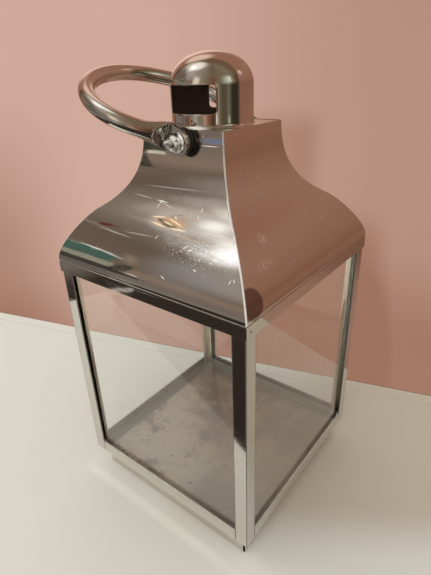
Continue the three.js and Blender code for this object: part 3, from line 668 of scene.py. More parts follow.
def roof_strokes_and_painted_light(polish):
    """Scratches and painted streaks of highlight and reflection that follow the roof's curve
    down its front.
    """
    shader = polish.shader
    flat = shader.scaled(polish.place, (1, FLATTEN, 1))
    for width, tint, strength, ends in ROOF_STROKES_AND_PAINTED_LIGHT:
        lines = []
        for x, z, next_x, next_z in ends:
            start, end = ((a, -FLATTEN * reach_at(b), b) for a, b in ((x, z), (next_x, next_z)))
            lines.append(stroke(shader, flat, start, end, width))
        polish.lay(reduce(Value.either, lines) * strength, tint, 0.25, 0.8)


def painted_corner_reflection(polish):
    """A painted reflection of a dark round thing at the right face's lower front corner."""
    dark = spot(polish.shader, polish.place, (99.5, -90.0, 260.0), (12.0, 12.0, 12.5), 0.18)
    polish.lay(dark * (1 - polish.front()), PAINTED_DARK_REFLECTION, 0.0, 0.0, 0.85)


def hip_seams_and_highlight(polish):
    """Pale weld metal along the hips, brightened into a painted highlight, plainest low down.
    """
    x, y, z = polish.shader.split(polish.place)
    seam_and_highlight = abs(abs(x) - abs(y)).between(1.2 * MM, 0.6 * MM)
    seam_and_highlight = seam_and_highlight * (0.45 + 0.55 * z.between(0.35, 0.27))
    polish.lay(seam_and_highlight, WELD_AND_HIGHLIGHT, 0.20, 0.60, 0.9)


def post_shade_lines_and_rivet(polish):
    """Dark lines painted along the posts' edges below the header: painted shade where they meet
    the glass, and a dark line down each outer corner. Also the rivet spot above them.
    """
    shader, place = polish.shader, polish.place
    x, y, z = shader.split(place)
    inset = abs(x).both(abs(y))
    line = abs(inset - (POST_LOW[0] + 0.3) * MM).between(0.6 * MM, 0.2 * MM)
    line = line.either(inset.past(POST_HIGH[0] - 0.6, 0.3)) * (1 - z.past(HEADER_LOW[2], 0.5))
    line = line.either(spot(shader, place, (101.1, -95.8, 242.6), (2.4, 1.3, 1.3), 0.3))
    polish.lay(line, SHADE_LINE_AND_RIVET, 0.0, 0.5, 0.85)


def plain_steel(name, steel, tarnish=None, rough=0.2):
    """Drawn bar: duller, with fine tool lines and darkened hollows."""
    shader = new_material(name)
    place = shader.place()
    cloud = shader.noise(place, 60.0, 4.0, 0.6)
    grain = shader.noise(shader.scaled(place, (900.0, 900.0, 90.0)), 1.0, 2.0, 0.6)
    # darker in hollows and creases, where pointiness is low
    in_hollows = shader.node("ShaderNodeNewGeometry", output="Pointiness").between(0.50, 0.44)
    tarnish = tarnish or [c * 0.6 for c in steel]
    tone = shader.mix(cloud.between(0.4, 0.75) * 0.5, steel, tarnish)
    return shader.surface(
        base_color=shader.mix(in_hollows * 0.7, tone, HOLLOW), metallic=1.0,
        roughness=rough * (1 + 0.8 * cloud + 0.5 * grain), normal=shader.bump(grain, 0.000015),
    )


def turned_steel(name, steel):
    """Turned fasteners: tool marks, with painted highlights between painted dark reflections
    and darkened hollows.
    """
    shader = new_material(name)
    place = shader.place()
    patch = shader.noise(shader.scaled(place, (170, 330, 170), (0.3, 0.0, 0.5)), 1.0, 3.0, 0.6)
    ring = shader.noise(shader.scaled(place, (40, 1500, 40)), 1.0, 2.0, 0.6)
    in_hollows = shader.node("ShaderNodeNewGeometry", output="Pointiness").between(0.50, 0.45)
    # dark patches are painted dark reflections, and the hollows are darkened
    dark = patch.between(0.47, 0.41).either(in_hollows * 0.85)
    # pale, less metallic patches are painted highlights
    pale = patch.between(0.50, 0.60)
    tone = shader.mix(pale, [c * 0.8 for c in steel], steel)
    return shader.surface(
        base_color=shader.mix(dark * 0.9, tone, PAINTED_DARK_TONE),
        metallic=0.85 - 0.5 * pale, roughness=0.10 + 0.12 * ring,
        normal=shader.bump(ring, 0.00002),
    )


TRAY_RIM = (0.68, 0.66, 0.60)  # the tray's outer side
# the rail's inner faces, painted darker than its outside as shade
TRAY_INSIDE_SHADE = (0.37, 0.38, 0.33)
TRAY_TOP = (0.46, 0.45, 0.39)  # the top of its rail, with a line of painted shade along the middle
TRAY_CREVICE_SHADE = (0.030, 0.026, 0.020)
TRAY_RUBBED, TRAY_CORNER = (0.35, 0.38, 0.33), (0.42, 0.44, 0.40)
TRAY_SHADE = (0.30, 0.25, 0.19)  # its left rear, away from the window
# its right side: lighter at the front, and painted darker as shade toward the rear
TRAY_RIGHT, TRAY_REAR_SHADE = (0.60, 0.63, 0.53), (0.42, 0.41, 0.33)
TRAY_GRIME = (0.37, 0.34, 0.26)
TRAY_CRUMBS = (  # both ends of each, in millimetres
    ((-24.0, -62.4, 25.2), (-21.4, -63.0, 25.2)), ((16.0, -78.2, 25.2), (18.6, -76.2, 25.2)),
)


def tray_specks(shader, place, fine):
    """Scattered specks, two crumbs, and grit along the near edge."""
    x, y, _ = shader.split(place)
    specks = shader.cells(place, 150.0).between(0.13, 0.08)
    specks = specks * shader.noise(place, 40.0, 1.0).between(0.60, 0.68)
    for start, end in TRAY_CRUMBS:
        specks = specks.either(stroke(shader, place, start, end, 1.3))
    grit = y.between(-0.078, -0.093) * x.between(0.02, -0.03) * fine.between(0.55, 0.62)
    return specks, grit


def tray_rail(shader, place, tone):
    """The tone with the tray's upturned rail, its inner faces painted darker as shade and a
    line of painted shade along the middle of its top, and where the floor and the rail's top
    are.
    """
    x, y, z = shader.split(place)
    out = abs(x).either(abs(y))
    inner = 1 - out.past(98.25, 0.75)
    rail = z.past(26.85, 0.65).either((-x).either(y).past(87.0, 0.8))
    top = z.past(35.5, 0.3)
    crevice_shade = (1 - out.past(97.55, 0.25)) * top
    tone = shader.mix(rail * inner * 0.85, tone, TRAY_INSIDE_SHADE)
    tone = shader.mix(1 - inner, tone, TRAY_RIM)
    tone = shader.mix(top * (1 - crevice_shade) * 0.8, tone, TRAY_TOP)
    return shader.mix(crevice_shade * 0.92, tone, TRAY_CREVICE_SHADE), inner, top


def tray_steel(name, steel, wax):
    """Worn sheet under the candle: dull mirror, rub marks, thin wax films and specks. Its tone
    is painted darker as shade away from its front left.
    """
    shader = new_material(name)
    place = shader.place()
    x, y, _ = shader.split(place)
    broad = shader.noise(place, 15.0, 4.0, 0.6, 0.5)
    fine = shader.noise(place, 300.0, 4.0, 0.65)
    blotch = shader.noise(place, 40.0, 6.0, 0.66, 0.25) * 0.72 + fine * 0.28
    near = (-0.8 * x - y).between(-0.02, 0.08)
    film = blotch.between(0.44, 0.60) * (0.25 + 0.75 * near)
    bare = blotch.between(0.50, 0.40) * broad.between(0.60, 0.42)
    rub = scratches(shader, place, (0.0, 1.4, 0.5), 800.0, 16.0, 0.60)
    rub = rub.either(scratches(shader, place, (0.0, 1.6, 2.2), 600.0, 13.0, 0.64))
    specks, grit = tray_specks(shader, place, fine)
    # painted shade: lightest at the front left, by the window light, and darker toward the
    # right and rear
    right = shader.mix(y.between(-0.01, 0.035), TRAY_RIGHT, TRAY_REAR_SHADE)
    far = shader.mix(x.between(-0.02, 0.06), TRAY_SHADE, right)
    tone = shader.mix(near, far, steel)
    corner = x.between(-0.01, 0.05) * y.between(-0.035, -0.075)
    tone = shader.mix(corner * 0.75, tone, TRAY_CORNER)
    tone = shader.mix(bare * 0.90, tone, TRAY_RUBBED)
    tone = shader.mix(film * 0.82 * (1 - 0.8 * corner), tone, wax)
    tone = shader.mix(fine.between(0.50, 0.75) * 0.35, tone, TRAY_GRIME)
    tone = shader.mix((specks + grit).both(1.0) * 0.85, tone, DIRT)
    tone, inner, top = tray_rail(shader, place, tone)
    metal = (0.34 - 0.14 * near - 0.16 * film) * inner + 0.95 * (1 - inner)
    rough = 0.26 + 0.10 * broad + 0.15 * film + 0.10 * rub + 0.2 * specks
    return shader.surface(
        base_color=tone, metallic=metal * (1 - top * 0.8),
        roughness=rough * (0.35 + 0.65 * inner),
        normal=shader.bump(film * 0.05 + rub * 0.1 + fine * 0.04, 0.0002),
    )


def clear_glass(name, edge, axis):
    """Float glass with green cut edges. The axis is the one that runs through the pane."""
    shader = new_material(name)
    place = shader.place()
    facing_out = shader.split(shader.node("ShaderNodeTexCoord", output="Normal"))[axis]
    cut = abs(facing_out).between(0.75, 0.35)
    smear = shader.noise(place, 17.0, 4.0, 0.6, 0.8).between(0.55, 0.8)
    dust = shader.cells(place, 150.0).between(0.09, 0.06)
    dust = dust * shader.noise(place, 25.0, 1.0).between(0.55, 0.7)
    return shader.surface(
        base_color=shader.mix(cut, (0.985, 0.995, 0.985), edge), ior=1.5,
        roughness=0.004 + 0.03 * smear + 0.4 * dust + 0.25 * cut, transmission_weight=1.0,
        normal=shader.bump(shader.noise(place, 9.0, 1.0, 0.4), 0.00025),
    )


def black_plastic(name, black):
    """Moulded spacer: almost black, with a soft sheen and dust."""
    shader = new_material(name)
    place = shader.place()
    cloud = shader.noise(place, 180.0, 4.0, 0.6)
    dust = shader.noise(place, 420.0, 3.0, 0.7).between(0.56, 0.75)
    return shader.surface(
        base_color=shader.mix(dust * 0.35, black, DUST), metallic=0.0,
        roughness=0.38 + 0.25 * cloud, normal=shader.bump(cloud, 0.00006),
    )


def sooted_and_shaded(name, soot_and_shade):
    """Steel browned by a flame, and painted darker still as shade inside the cap: dark and
    uneven, with a faint sheen.
    """
    shader = new_material(name)
    cloud = shader.noise(shader.place(), 90.0, 4.0, 0.6)
    tone = shader.mix(cloud * 0.5, soot_and_shade, [c * 0.5 for c in soot_and_shade])
    return shader.surface(base_color=tone, metallic=0.2, roughness=0.55 + 0.2 * cloud)


# ---- operators ----------------------------------------------------------------------------

TOWARD_WALL = (-0.289, 0.957)  # level direction from the lantern to the backdrop
WALL_REACH = 170.3  # from the origin to the backdrop's foot, in millimetres
LIP_REACH = 149.0  # the table top's rear strip starts here
LINE_WIDTH = 1.2  # of the lines along the strip and the backdrop's foot
TABLE_FRONT = ((0.352, -0.936), 202.0)  # the table ends this far out in this direction
TABLE_LEFT = ((-0.936, -0.352), 545.0)
GLEAM_REACH = 112.0  # a gleam lies on the table this far in front of the middle
TABLE_SHADE = ((-0.53, 0.85), -97.0)  # the lantern shades the table beyond this
DAYLIGHT = (0.78, 0.77, 0.755)  # the even light that the room gives
LAMPS = (  # name, place in metres, size and power
    ("window light", (-1.15, -0.75, 1.25), 0.9, 6.0),
    ("fill light", (0.40, -1.35, 1.0), 1.4, 8.5),
)
LAMP_COLOUR, LAMP_TARGET = (1.0, 0.97, 0.93), (0.0, 0.0, 0.12)
CAMERA_PLACE = (0.237815, -0.301658, 0.398373)
CAMERA_TURN = (38.73, 26.43, -2.17)  # azimuth, elevation and roll in degrees
CAMERA_LENS, CAMERA_SENSOR = 37.046, 36.0

# Colours of a lived-in room, for what polished metal mirrors. Each list gives them by
# degrees: above the horizon, or round it from -X with the front at -90.
ROOM_FRONT = (
    (-90, (0.019, 0.013, 0.009)), (-26, (0.041, 0.031, 0.025)), (-23.7, (0.046, 0.036, 0.028)),
    (-21.5, (0.231, 0.199, 0.171)), (-16, (0.254, 0.221, 0.191)), (-9, (0.223, 0.183, 0.156)),
    (1, (0.24, 0.183, 0.156)), (10, (0.308, 0.221, 0.167)), (17, (0.198, 0.144, 0.11)),
    (24, (0.186, 0.13, 0.096)), (30, (0.171, 0.127, 0.096)), (36, (0.231, 0.18, 0.139)),
    (41, (0.288, 0.234, 0.191)), (45, (0.372, 0.297, 0.239)), (50, (0.448, 0.395, 0.345)),
    (56, (0.44, 0.39, 0.34)), (64, (0.52, 0.48, 0.43)), (72, (0.46, 0.41, 0.36)),
    (90, (0.268, 0.168, 0.11)),
)
ROOM_LOW = (
    (-107, (0.5, 0.46, 0.39)), (-98, (0.39, 0.34, 0.28)), (-88, (0.23, 0.19, 0.135)),
    (-80, (0.27, 0.22, 0.165)), (-73, (0.51, 0.315, 0.222)), (-65, (0.26, 0.12, 0.07)),
    (-54, (0.11, 0.052, 0.032)), (-47, (0.08, 0.042, 0.028)), (-43, (0.25, 0.19, 0.14)),
    (-38, (0.42, 0.35, 0.255)), (-31, (0.18, 0.14, 0.092)), (-23, (0.1, 0.085, 0.05)),
    (-14, (0.12, 0.092, 0.054)), (-6, (0.19, 0.175, 0.115)), (-1, (0.11, 0.092, 0.056)),
    (4, (0.045, 0.034, 0.021)), (19, (0.038, 0.03, 0.018)), (27, (0.115, 0.075, 0.048)),
)
ROOM_MIDDLE = (
    (-110, (0.34, 0.3, 0.245)), (-98, (0.951, 0.83, 0.687)), (-90, (0.86, 0.73, 0.58)),
    (-82, (0.33, 0.27, 0.195)), (-70, (0.26, 0.19, 0.125)), (-47, (0.194, 0.09, 0.052)),
    (-25, (0.231, 0.204, 0.139)), (-8, (0.62, 0.638, 0.534)), (0, (0.559, 0.561, 0.449)),
    (12, (0.231, 0.157, 0.096)), (24, (0.103, 0.05, 0.03)),
)
ROOM_HIGH = (
    (-110, (0.375, 0.328, 0.273)), (-98, (0.363, 0.323, 0.263)), (-70, (0.268, 0.204, 0.145)),
    (-47, (0.194, 0.13, 0.085)), (3, (0.259, 0.212, 0.139)), (24, (0.198, 0.118, 0.071)),
)
ROOM_WALL = (
    (-60, (0.2, 0.09, 0.058)), (-31, (0.37, 0.22, 0.162)), (-25.5, (0.35, 0.19, 0.134)),
    (-23, (0.25, 0.122, 0.08)), (-20, (0.225, 0.104, 0.064)), (-16, (0.285, 0.14, 0.092)),
    (-5, (0.318, 0.15, 0.097)), (2, (0.278, 0.132, 0.083)), (6, (0.325, 0.156, 0.1)),
    (25, (0.386, 0.204, 0.142)), (36, (0.363, 0.176, 0.116)), (60, (0.398, 0.187, 0.119)),
    (90, (0.375, 0.187, 0.125)),
)
# Things that stand out in the room, each a rounded box: bearing and height of its middle and
# its half sizes, all in degrees, then its colour and strength.
ROOM_THINGS = (
    (-143.5, -12.0, 4.5, 7.5, (0.12, 0.108, 0.1), 0.6),
    (-150.4, 1.2, 14.7, 4.6, (0.045, 0.044, 0.038), 0.9),
    (-146.0, 14.4, 5.4, 4.2, (0.075, 0.15, 0.122), 0.95),
    (-141.6, 8.8, 3.4, 3.0, (0.36, 0.36, 0.28), 0.85),
    (-138.0, 8.5, 1.2, 7.0, (0.04, 0.04, 0.028), 0.9),
    (-0.5, 22.0, 4.5, 9.0, (0.95, 0.93, 0.8), 0.7),
    (-143.2, 19.0, 2.6, 0.5, (0.9, 0.91, 0.85), 0.9),
    (-154.6, 32.6, 0.9, 1.1, (0.16, 0.01, 0.03), 0.8),
    (-156.0, 30.6, 6.0, 0.7, (0.375, 0.317, 0.234), 0.5),
    (-136.0, 1.4, 2.5, 2.2, (0.055, 0.055, 0.037), 0.9),
    (-135.2, 4.8, 1.25, 1.1, (0.82, 0.75, 0.61), 0.9),
    (-140.0, -19.6, 2.6, 0.8, (0.75, 0.68, 0.6), 0.8),
    (-143.0, -25.9, 2.6, 0.28, (0.7, 0.66, 0.59), 0.8),
    (-150.8, -23.5, 1.9, 4.0, (0.15, 0.125, 0.09), 0.9),
    (-6.0, -7.6, 3.6, 2.2, (0.5, 0.51, 0.38), 0.9),
    (-40.0, -8.0, 2.6, 3.0, (0.96, 0.91, 0.81), 0.9),
)
# Soft lights: direction, cosines where they are full and gone, strength and colour.
ROOM_GLOWS = (
    ((-0.3, -0.25, 0.92), 0.997, 0.94, 0.7, (0.95, 0.93, 0.88)),
    ((-0.718, 0.646, 0.259), 0.995, 0.93, 0.65, (0.95, 0.74, 0.64)),
    ((-0.566, -0.434, 0.701), 0.9992, 0.988, 0.2, (0.95, 0.95, 0.93)),
    ((-0.44, -0.37, 0.82), 0.998, 0.978, 0.55, (0.95, 0.94, 0.9)),
    ((-0.578, -0.166, 0.799), 0.998, 0.975, 0.25, (0.95, 0.9, 0.8)),
    ((0.59, 0.611, 0.53), 0.999, 0.99, 0.5, (0.95, 0.85, 0.74)),
    ((-0.419, -0.726, 0.545), 0.998, 0.945, 0.22, (0.95, 0.93, 0.88)),
    ((-0.533, 0.308, 0.788), 0.996, 0.94, 0.62, (0.92, 0.78, 0.68)),
)
CEILING_SLOPE = 0.36  # the wall ends where a direction rises more than its share toward it


def room(shader, direction, rise, bearing, height):
    """Colours of the room by direction, for what polished metal mirrors."""

    def by_height(stops):
        return shader.ramp((height + 90) / 180, [((d + 90) / 180, rgb) for d, rgb in stops])

    def by_bearing(stops):
        return shader.ramp((bearing + 180) / 360, [((d + 180) / 360, rgb) for d, rgb in stops])

    side = shader.mix(height.between(3, 14), by_bearing(ROOM_LOW), by_bearing(ROOM_MIDDLE))
    side = shader.mix(height.between(24, 40), side, by_bearing(ROOM_HIGH))
    side = shader.mix(height.between(-14, -22), side, (0.041, 0.031, 0.025))
    seen = shader.mix(bearing.between(-112, -101), by_height(ROOM_FRONT), side)
    toward = shader.aim(direction, (*TOWARD_WALL, 0.0))
    on_wall = bearing.between(24, 33) * bearing.between(176, 170)
    on_wall = on_wall * (toward - CEILING_SLOPE * rise).between(0.0, 0.09)
    seen = shader.mix(on_wall, seen, by_height(ROOM_WALL))
    for middle, level, half, tall, rgb, strength in ROOM_THINGS:
        reach = ((bearing - middle) / half) ** 4 + ((height - level) / tall) ** 4
        seen = shader.mix(reach.between(1.25, 0.75) * strength, seen, rgb)
    for target, inner, outer, strength, rgb in ROOM_GLOWS:
        near = shader.aim(direction, target).between(outer, inner) * strength
        seen = shader.add(near, seen, rgb)
    return seen


class LANTERN_OT_stage(bpy.types.Operator):
    """Set the table, the backdrop, the lamps and the camera"""

    bl_idname = "lantern.stage"
    bl_label = "Stage"
    bl_options = {"REGISTER", "UNDO"}

    def execute(self, context):
        tint = context.scene.lantern_colours
        self.table(self.table_finish(tint.floor))
        self.backdrop(tint.wall, tint.wall_shade)
        self.lamps()
        self.camera()
        return {"FINISHED"}

    @staticmethod
    def table(material):
        """A flat sheet whose rear edge lies along the backdrop's foot."""
        out = np.array([*TOWARD_WALL, 0.0])
        across = np.array([out[1], -out[0], 0.0])
        foot = out * WALL_REACH
        s, t = np.meshgrid(np.linspace(-2500, 2500, 5), np.linspace(-3200, 0, 5), indexing="ij")
        points = foot + s[..., None] * across + t[..., None] * out
        mesh = bpy.data.meshes.new("table_top")
        faces = quads(5, 5)[:, ::-1]
        mesh.from_pydata((points.reshape(-1, 3) * MM).tolist(), [], faces.tolist())
        top = bpy.data.objects.new("table_top", mesh)
        bpy.context.scene.collection.objects.link(top)
        mesh.materials.append(material)

    @staticmethod
    def table_finish(floor):
        """Pale paint with a strip at the rear, the lantern's shadow painted to its right, a
        painted gleam in front of it and a painted shadow line at the backdrop's foot. For
        mirrors the table ends nearer.
        """
        shader = new_material("table top")
        place = shader.place()
        x, y, _ = shader.split(place)

        def beyond(direction, reach, softness):
            """1 where a place lies further out than the reach in a direction."""
            return (x * direction[0] + y * direction[1]).past(reach, softness)

        glossy, passed = shader.rays("Is Glossy Ray", "Is Transmission Ray")
        ended = beyond(*TABLE_FRONT, 2.0).either(beyond(*TABLE_LEFT, 2.0))
        ended = ended * glossy * (1 - passed)
        mottle = shader.noise(place, 5.0, 2.0)
        tone = shader.mix(mottle * 0.05, floor, [c * 0.9 for c in floor])
        # the lantern's shadow, painted to its right and behind it
        shade = beyond(*TABLE_SHADE, 30.0) * x.between(-0.02, 0.09)
        tone = shader.mix(shade, tone, [c * k for c, k in zip(floor, (0.77, 0.69, 0.60))])
        # a painted gleam of light in front of the lantern's base
        gleam = abs(y + GLEAM_REACH * MM).between(0.008, 0.001) * x.between(0.12, 0.05)
        gleam = gleam * x.between(-0.12, -0.09)
        tone = shader.mix(gleam * 0.5, tone, [min(1.0, c * 1.25) for c in floor])
        lip = beyond(TOWARD_WALL, LIP_REACH, 0.4)
        lip = lip * (1 - beyond(TOWARD_WALL, LIP_REACH + LINE_WIDTH, 0.4))
        tone = shader.mix(lip * 0.4, tone, (0.30, 0.28, 0.22))
        # a painted shadow line along the backdrop's foot
        foot = beyond(TOWARD_WALL, WALL_REACH - LINE_WIDTH, 0.5)
        tone = shader.mix(foot, tone, (0.17, 0.085, 0.055))
        paint = {"Base Color": tone, "Roughness": 0.55}
        painted = shader.node("ShaderNodeBsdfPrincipled", None, paint)
        clear = shader.node("ShaderNodeBsdfTransparent")
        both = shader.node("ShaderNodeMixShader", None, {0: ended, 1: painted, 2: clear})
        shader.node("ShaderNodeOutputMaterial", None, {"Surface": both})
        return shader.owner

    @staticmethod
    def backdrop(wall, wall_shade):
        """The wall for the eye, with painted shade and the lantern's painted shadow, a room for
        mirrors, and even pale light for the rest.
        """
        world = bpy.data.worlds.new("room")
        bpy.context.scene.world = world
        shader = Shader(world)
        direction, rise, bearing, height = shader.outlook()
        shade = bearing.between(141, 106) * 0.54
        shade = shade + bearing.between(143, 158) * rise.between(0.05, -0.35) * 0.72
        shade = shade + rise.between(-0.34, -0.52) * 0.36
        # the lantern's shadow painted on the wall: its body, and its neck and cap above
        edge = bearing - 0.18 * height - 109.9
        body = edge.between(-1.5, 2.5) * height.between(-15, -21)
        neck = bearing.between(114.0, 117.5) * height.between(-3.5, -8.0)
        shade = shade + body.either(neck) * bearing.between(135, 127) * 0.34
        mottle = shader.noise(direction, 3.0, 2.0)
        plain = shader.mix(shade + (mottle - 0.5) * 0.10, wall, wall_shade)
        direct, glossy, passed = shader.rays(
            "Is Camera Ray", "Is Glossy Ray", "Is Transmission Ray")
        mirrored = shader.mix(glossy, DAYLIGHT, room(shader, direction, rise, bearing, height))
        seen = shader.mix(direct.either(passed), mirrored, plain)
        light = shader.node("ShaderNodeBackground", None, {"Color": seen, "Strength": 1.0})
        shader.node("ShaderNodeOutputWorld", None, {"Surface": light})

    @staticmethod
    def lamps():
        """Broad soft lamps, one high on the left and one in front, that mirrors don't show."""
        for name, place, size, power in LAMPS:
            lamp = bpy.data.lights.new(name, "AREA")
            lamp.shape = "DISK"
            lamp.size = size
            lamp.energy = power
            lamp.color = LAMP_COLOUR
            holder = bpy.data.objects.new(name, lamp)
            holder.location = place
            aim = Vector(LAMP_TARGET) - Vector(place)
            holder.rotation_euler = aim.to_track_quat("-Z", "Y").to_euler()
            holder.visible_glossy = False
            bpy.context.scene.collection.objects.link(holder)

    @staticmethod
    def camera():
        """The camera's axes are the columns of its matrix: right, up and backwards."""
        azimuth, elevation, roll = (math.radians(angle) for angle in CAMERA_TURN)
        forward = np.array([
            -math.sin(azimuth) * math.cos(elevation),
            math.cos(azimuth) * math.cos(elevation),
            -math.sin(elevation),
        ])
        level = np.cross(forward, [0, 0, 1])
        level /= np.linalg.norm(level)
        above = np.cross(level, forward)
        right = level * math.cos(roll) + above * math.sin(roll)
        up = above * math.cos(roll) - level * math.sin(roll)
        view = bpy.data.cameras.new("camera")
        view.sensor_fit = "HORIZONTAL"
        view.sensor_width, view.lens = CAMERA_SENSOR, CAMERA_LENS
        holder = bpy.data.objects.new("camera", view)
        matrix = np.eye(4)
        matrix[:3, 0], matrix[:3, 1], matrix[:3, 2] = right, up, -forward
        matrix[:3, 3] = CAMERA_PLACE
        holder.matrix_world = Matrix(matrix.tolist())
        bpy.context.scene.collection.objects.link(holder)
        bpy.context.scene.camera = holder
        bpy.context.scene.view_settings.view_transform = "Standard"


HEM_RADIUS = 1.4  # of the lip that is rolled under at the eave
LIP_WIDTH, LIP_BEND = 8.0, 5.0  # how far in the lip's flat reaches, and where it rises


class LANTERN_OT_roof(bpy.types.Operator):
    """Make the ogee roof with its welded hips and the rolled lip at its eave"""

    bl_idname = "lantern.roof"
    bl_label = "Roof"
    bl_options = {"REGISTER", "UNDO"}

    def execute(self, context):
        size = context.scene.lantern_sizes
        tint = context.scene.lantern_colours
        sheet, corner = size.sheet / MM, 0.35
        outer, inner = ogee(0.0), ogee(-sheet)[::-1]
        low, eave = ROOF_LOW[2], ROOF_HIGH[0]
        seat = low - CLEAR + 0.03  # the lip comes down onto the header
        turn = np.linspace(-math.pi / 3, 0, 7)
        hem = np.stack([np.cos(turn) - 1, np.sin(turn) + math.sin(math.pi / 3)], 1)
        hem = hem * HEM_RADIUS + (eave, seat)
        back, bend = eave - LIP_WIDTH, eave - LIP_BEND
        lip = [(back, low + sheet), (back, seat), (bend, seat)]
        fold = [(eave - 1.2, low + sheet), (bend, low + sheet)]
        top = [(outer[-1, 0] - corner, outer[-1, 1])]
        profile = np.concatenate([lip, hem, outer, top, inner, fold])
        count = len(lip) + len(hem) + len(outer)
        radius = np.full(len(profile), corner)
        radius[len(lip):count] = size.weld_radius / MM
        step = np.arange(len(profile))
        uneven = np.random.default_rng(7).normal(0, 1, len(profile))
        uneven = np.convolve(uneven, np.ones(3) / 3, mode="same")
        swells = (step >= len(lip) + len(hem)) & (step < count)
        bulge = np.where(swells, 0.10 + 0.07 * uneven, 0.0)
        points = around_square(profile, radius, bulge, 7)
        marks = [roof_films_and_painted_light, roof_strokes_and_painted_light, painted_corner_reflection, hip_seams_and_highlight]
        material = polished_steel("roof steel", tint.steel, 0.0010, marks=marks)
        nodes = [f"roof_{side}" for side in ("front", "right", "rear", "left")]
        piece("roof", points, material, "lantern", nodes, 50, ring=True)
        return {"FINISHED"}


class LANTERN_OT_body(bpy.types.Operator):
    """Dress the posts and the header band"""

    bl_idname = "lantern.body"
    bl_label = "Posts and header"
    bl_options = {"REGISTER", "UNDO"}

    def execute(self, context):
        size = context.scene.lantern_sizes
        tint = context.scene.lantern_colours
        steel = polished_steel("body steel", tint.steel, worn=1.2, marks=[post_shade_lines_and_rivet])
        for node in ("post_front_left", "post_front_right", "post_rear_left",
                     "post_rear_right", "header_band"):
            eased(node, steel, "lantern", size.eased_edge)
        return {"FINISHED"}


class LANTERN_OT_base(bpy.types.Operator):
    """Dress the plinth pan and the tray"""

    bl_idname = "lantern.base"
    bl_label = "Plinth and tray"
    bl_options = {"REGISTER", "UNDO"}

    def execute(self, context):
        size = context.scene.lantern_sizes
        tint = context.scene.lantern_colours
        steel = polished_steel("plinth steel", tint.steel, worn=1.4)
        worn = tray_steel("tray steel", tint.tray, tint.wax)
        eased("plinth_pan", steel, "lantern", size.eased_edge)
        eased("base_tray", worn, "lantern", size.eased_edge)
        return {"FINISHED"}


WINDOW_HALF, WINDOW_CORNER = 22.5, 2.5  # half width of a window, and its corners' radius
WINDOW_SILL, WINDOW_HEAD = 9.5, 29.5  # above the cap's rim
DOME_SPRING = 27.5  # the dome starts this far above the rim
DOME_POWER = 2.15  # of the dome's superellipse
SOLDER_FLARE, SOLDER_RISE = 1.3, 1.8  # how far the cap's foot spreads, and how far up
VENT_RADIUS = 28.0


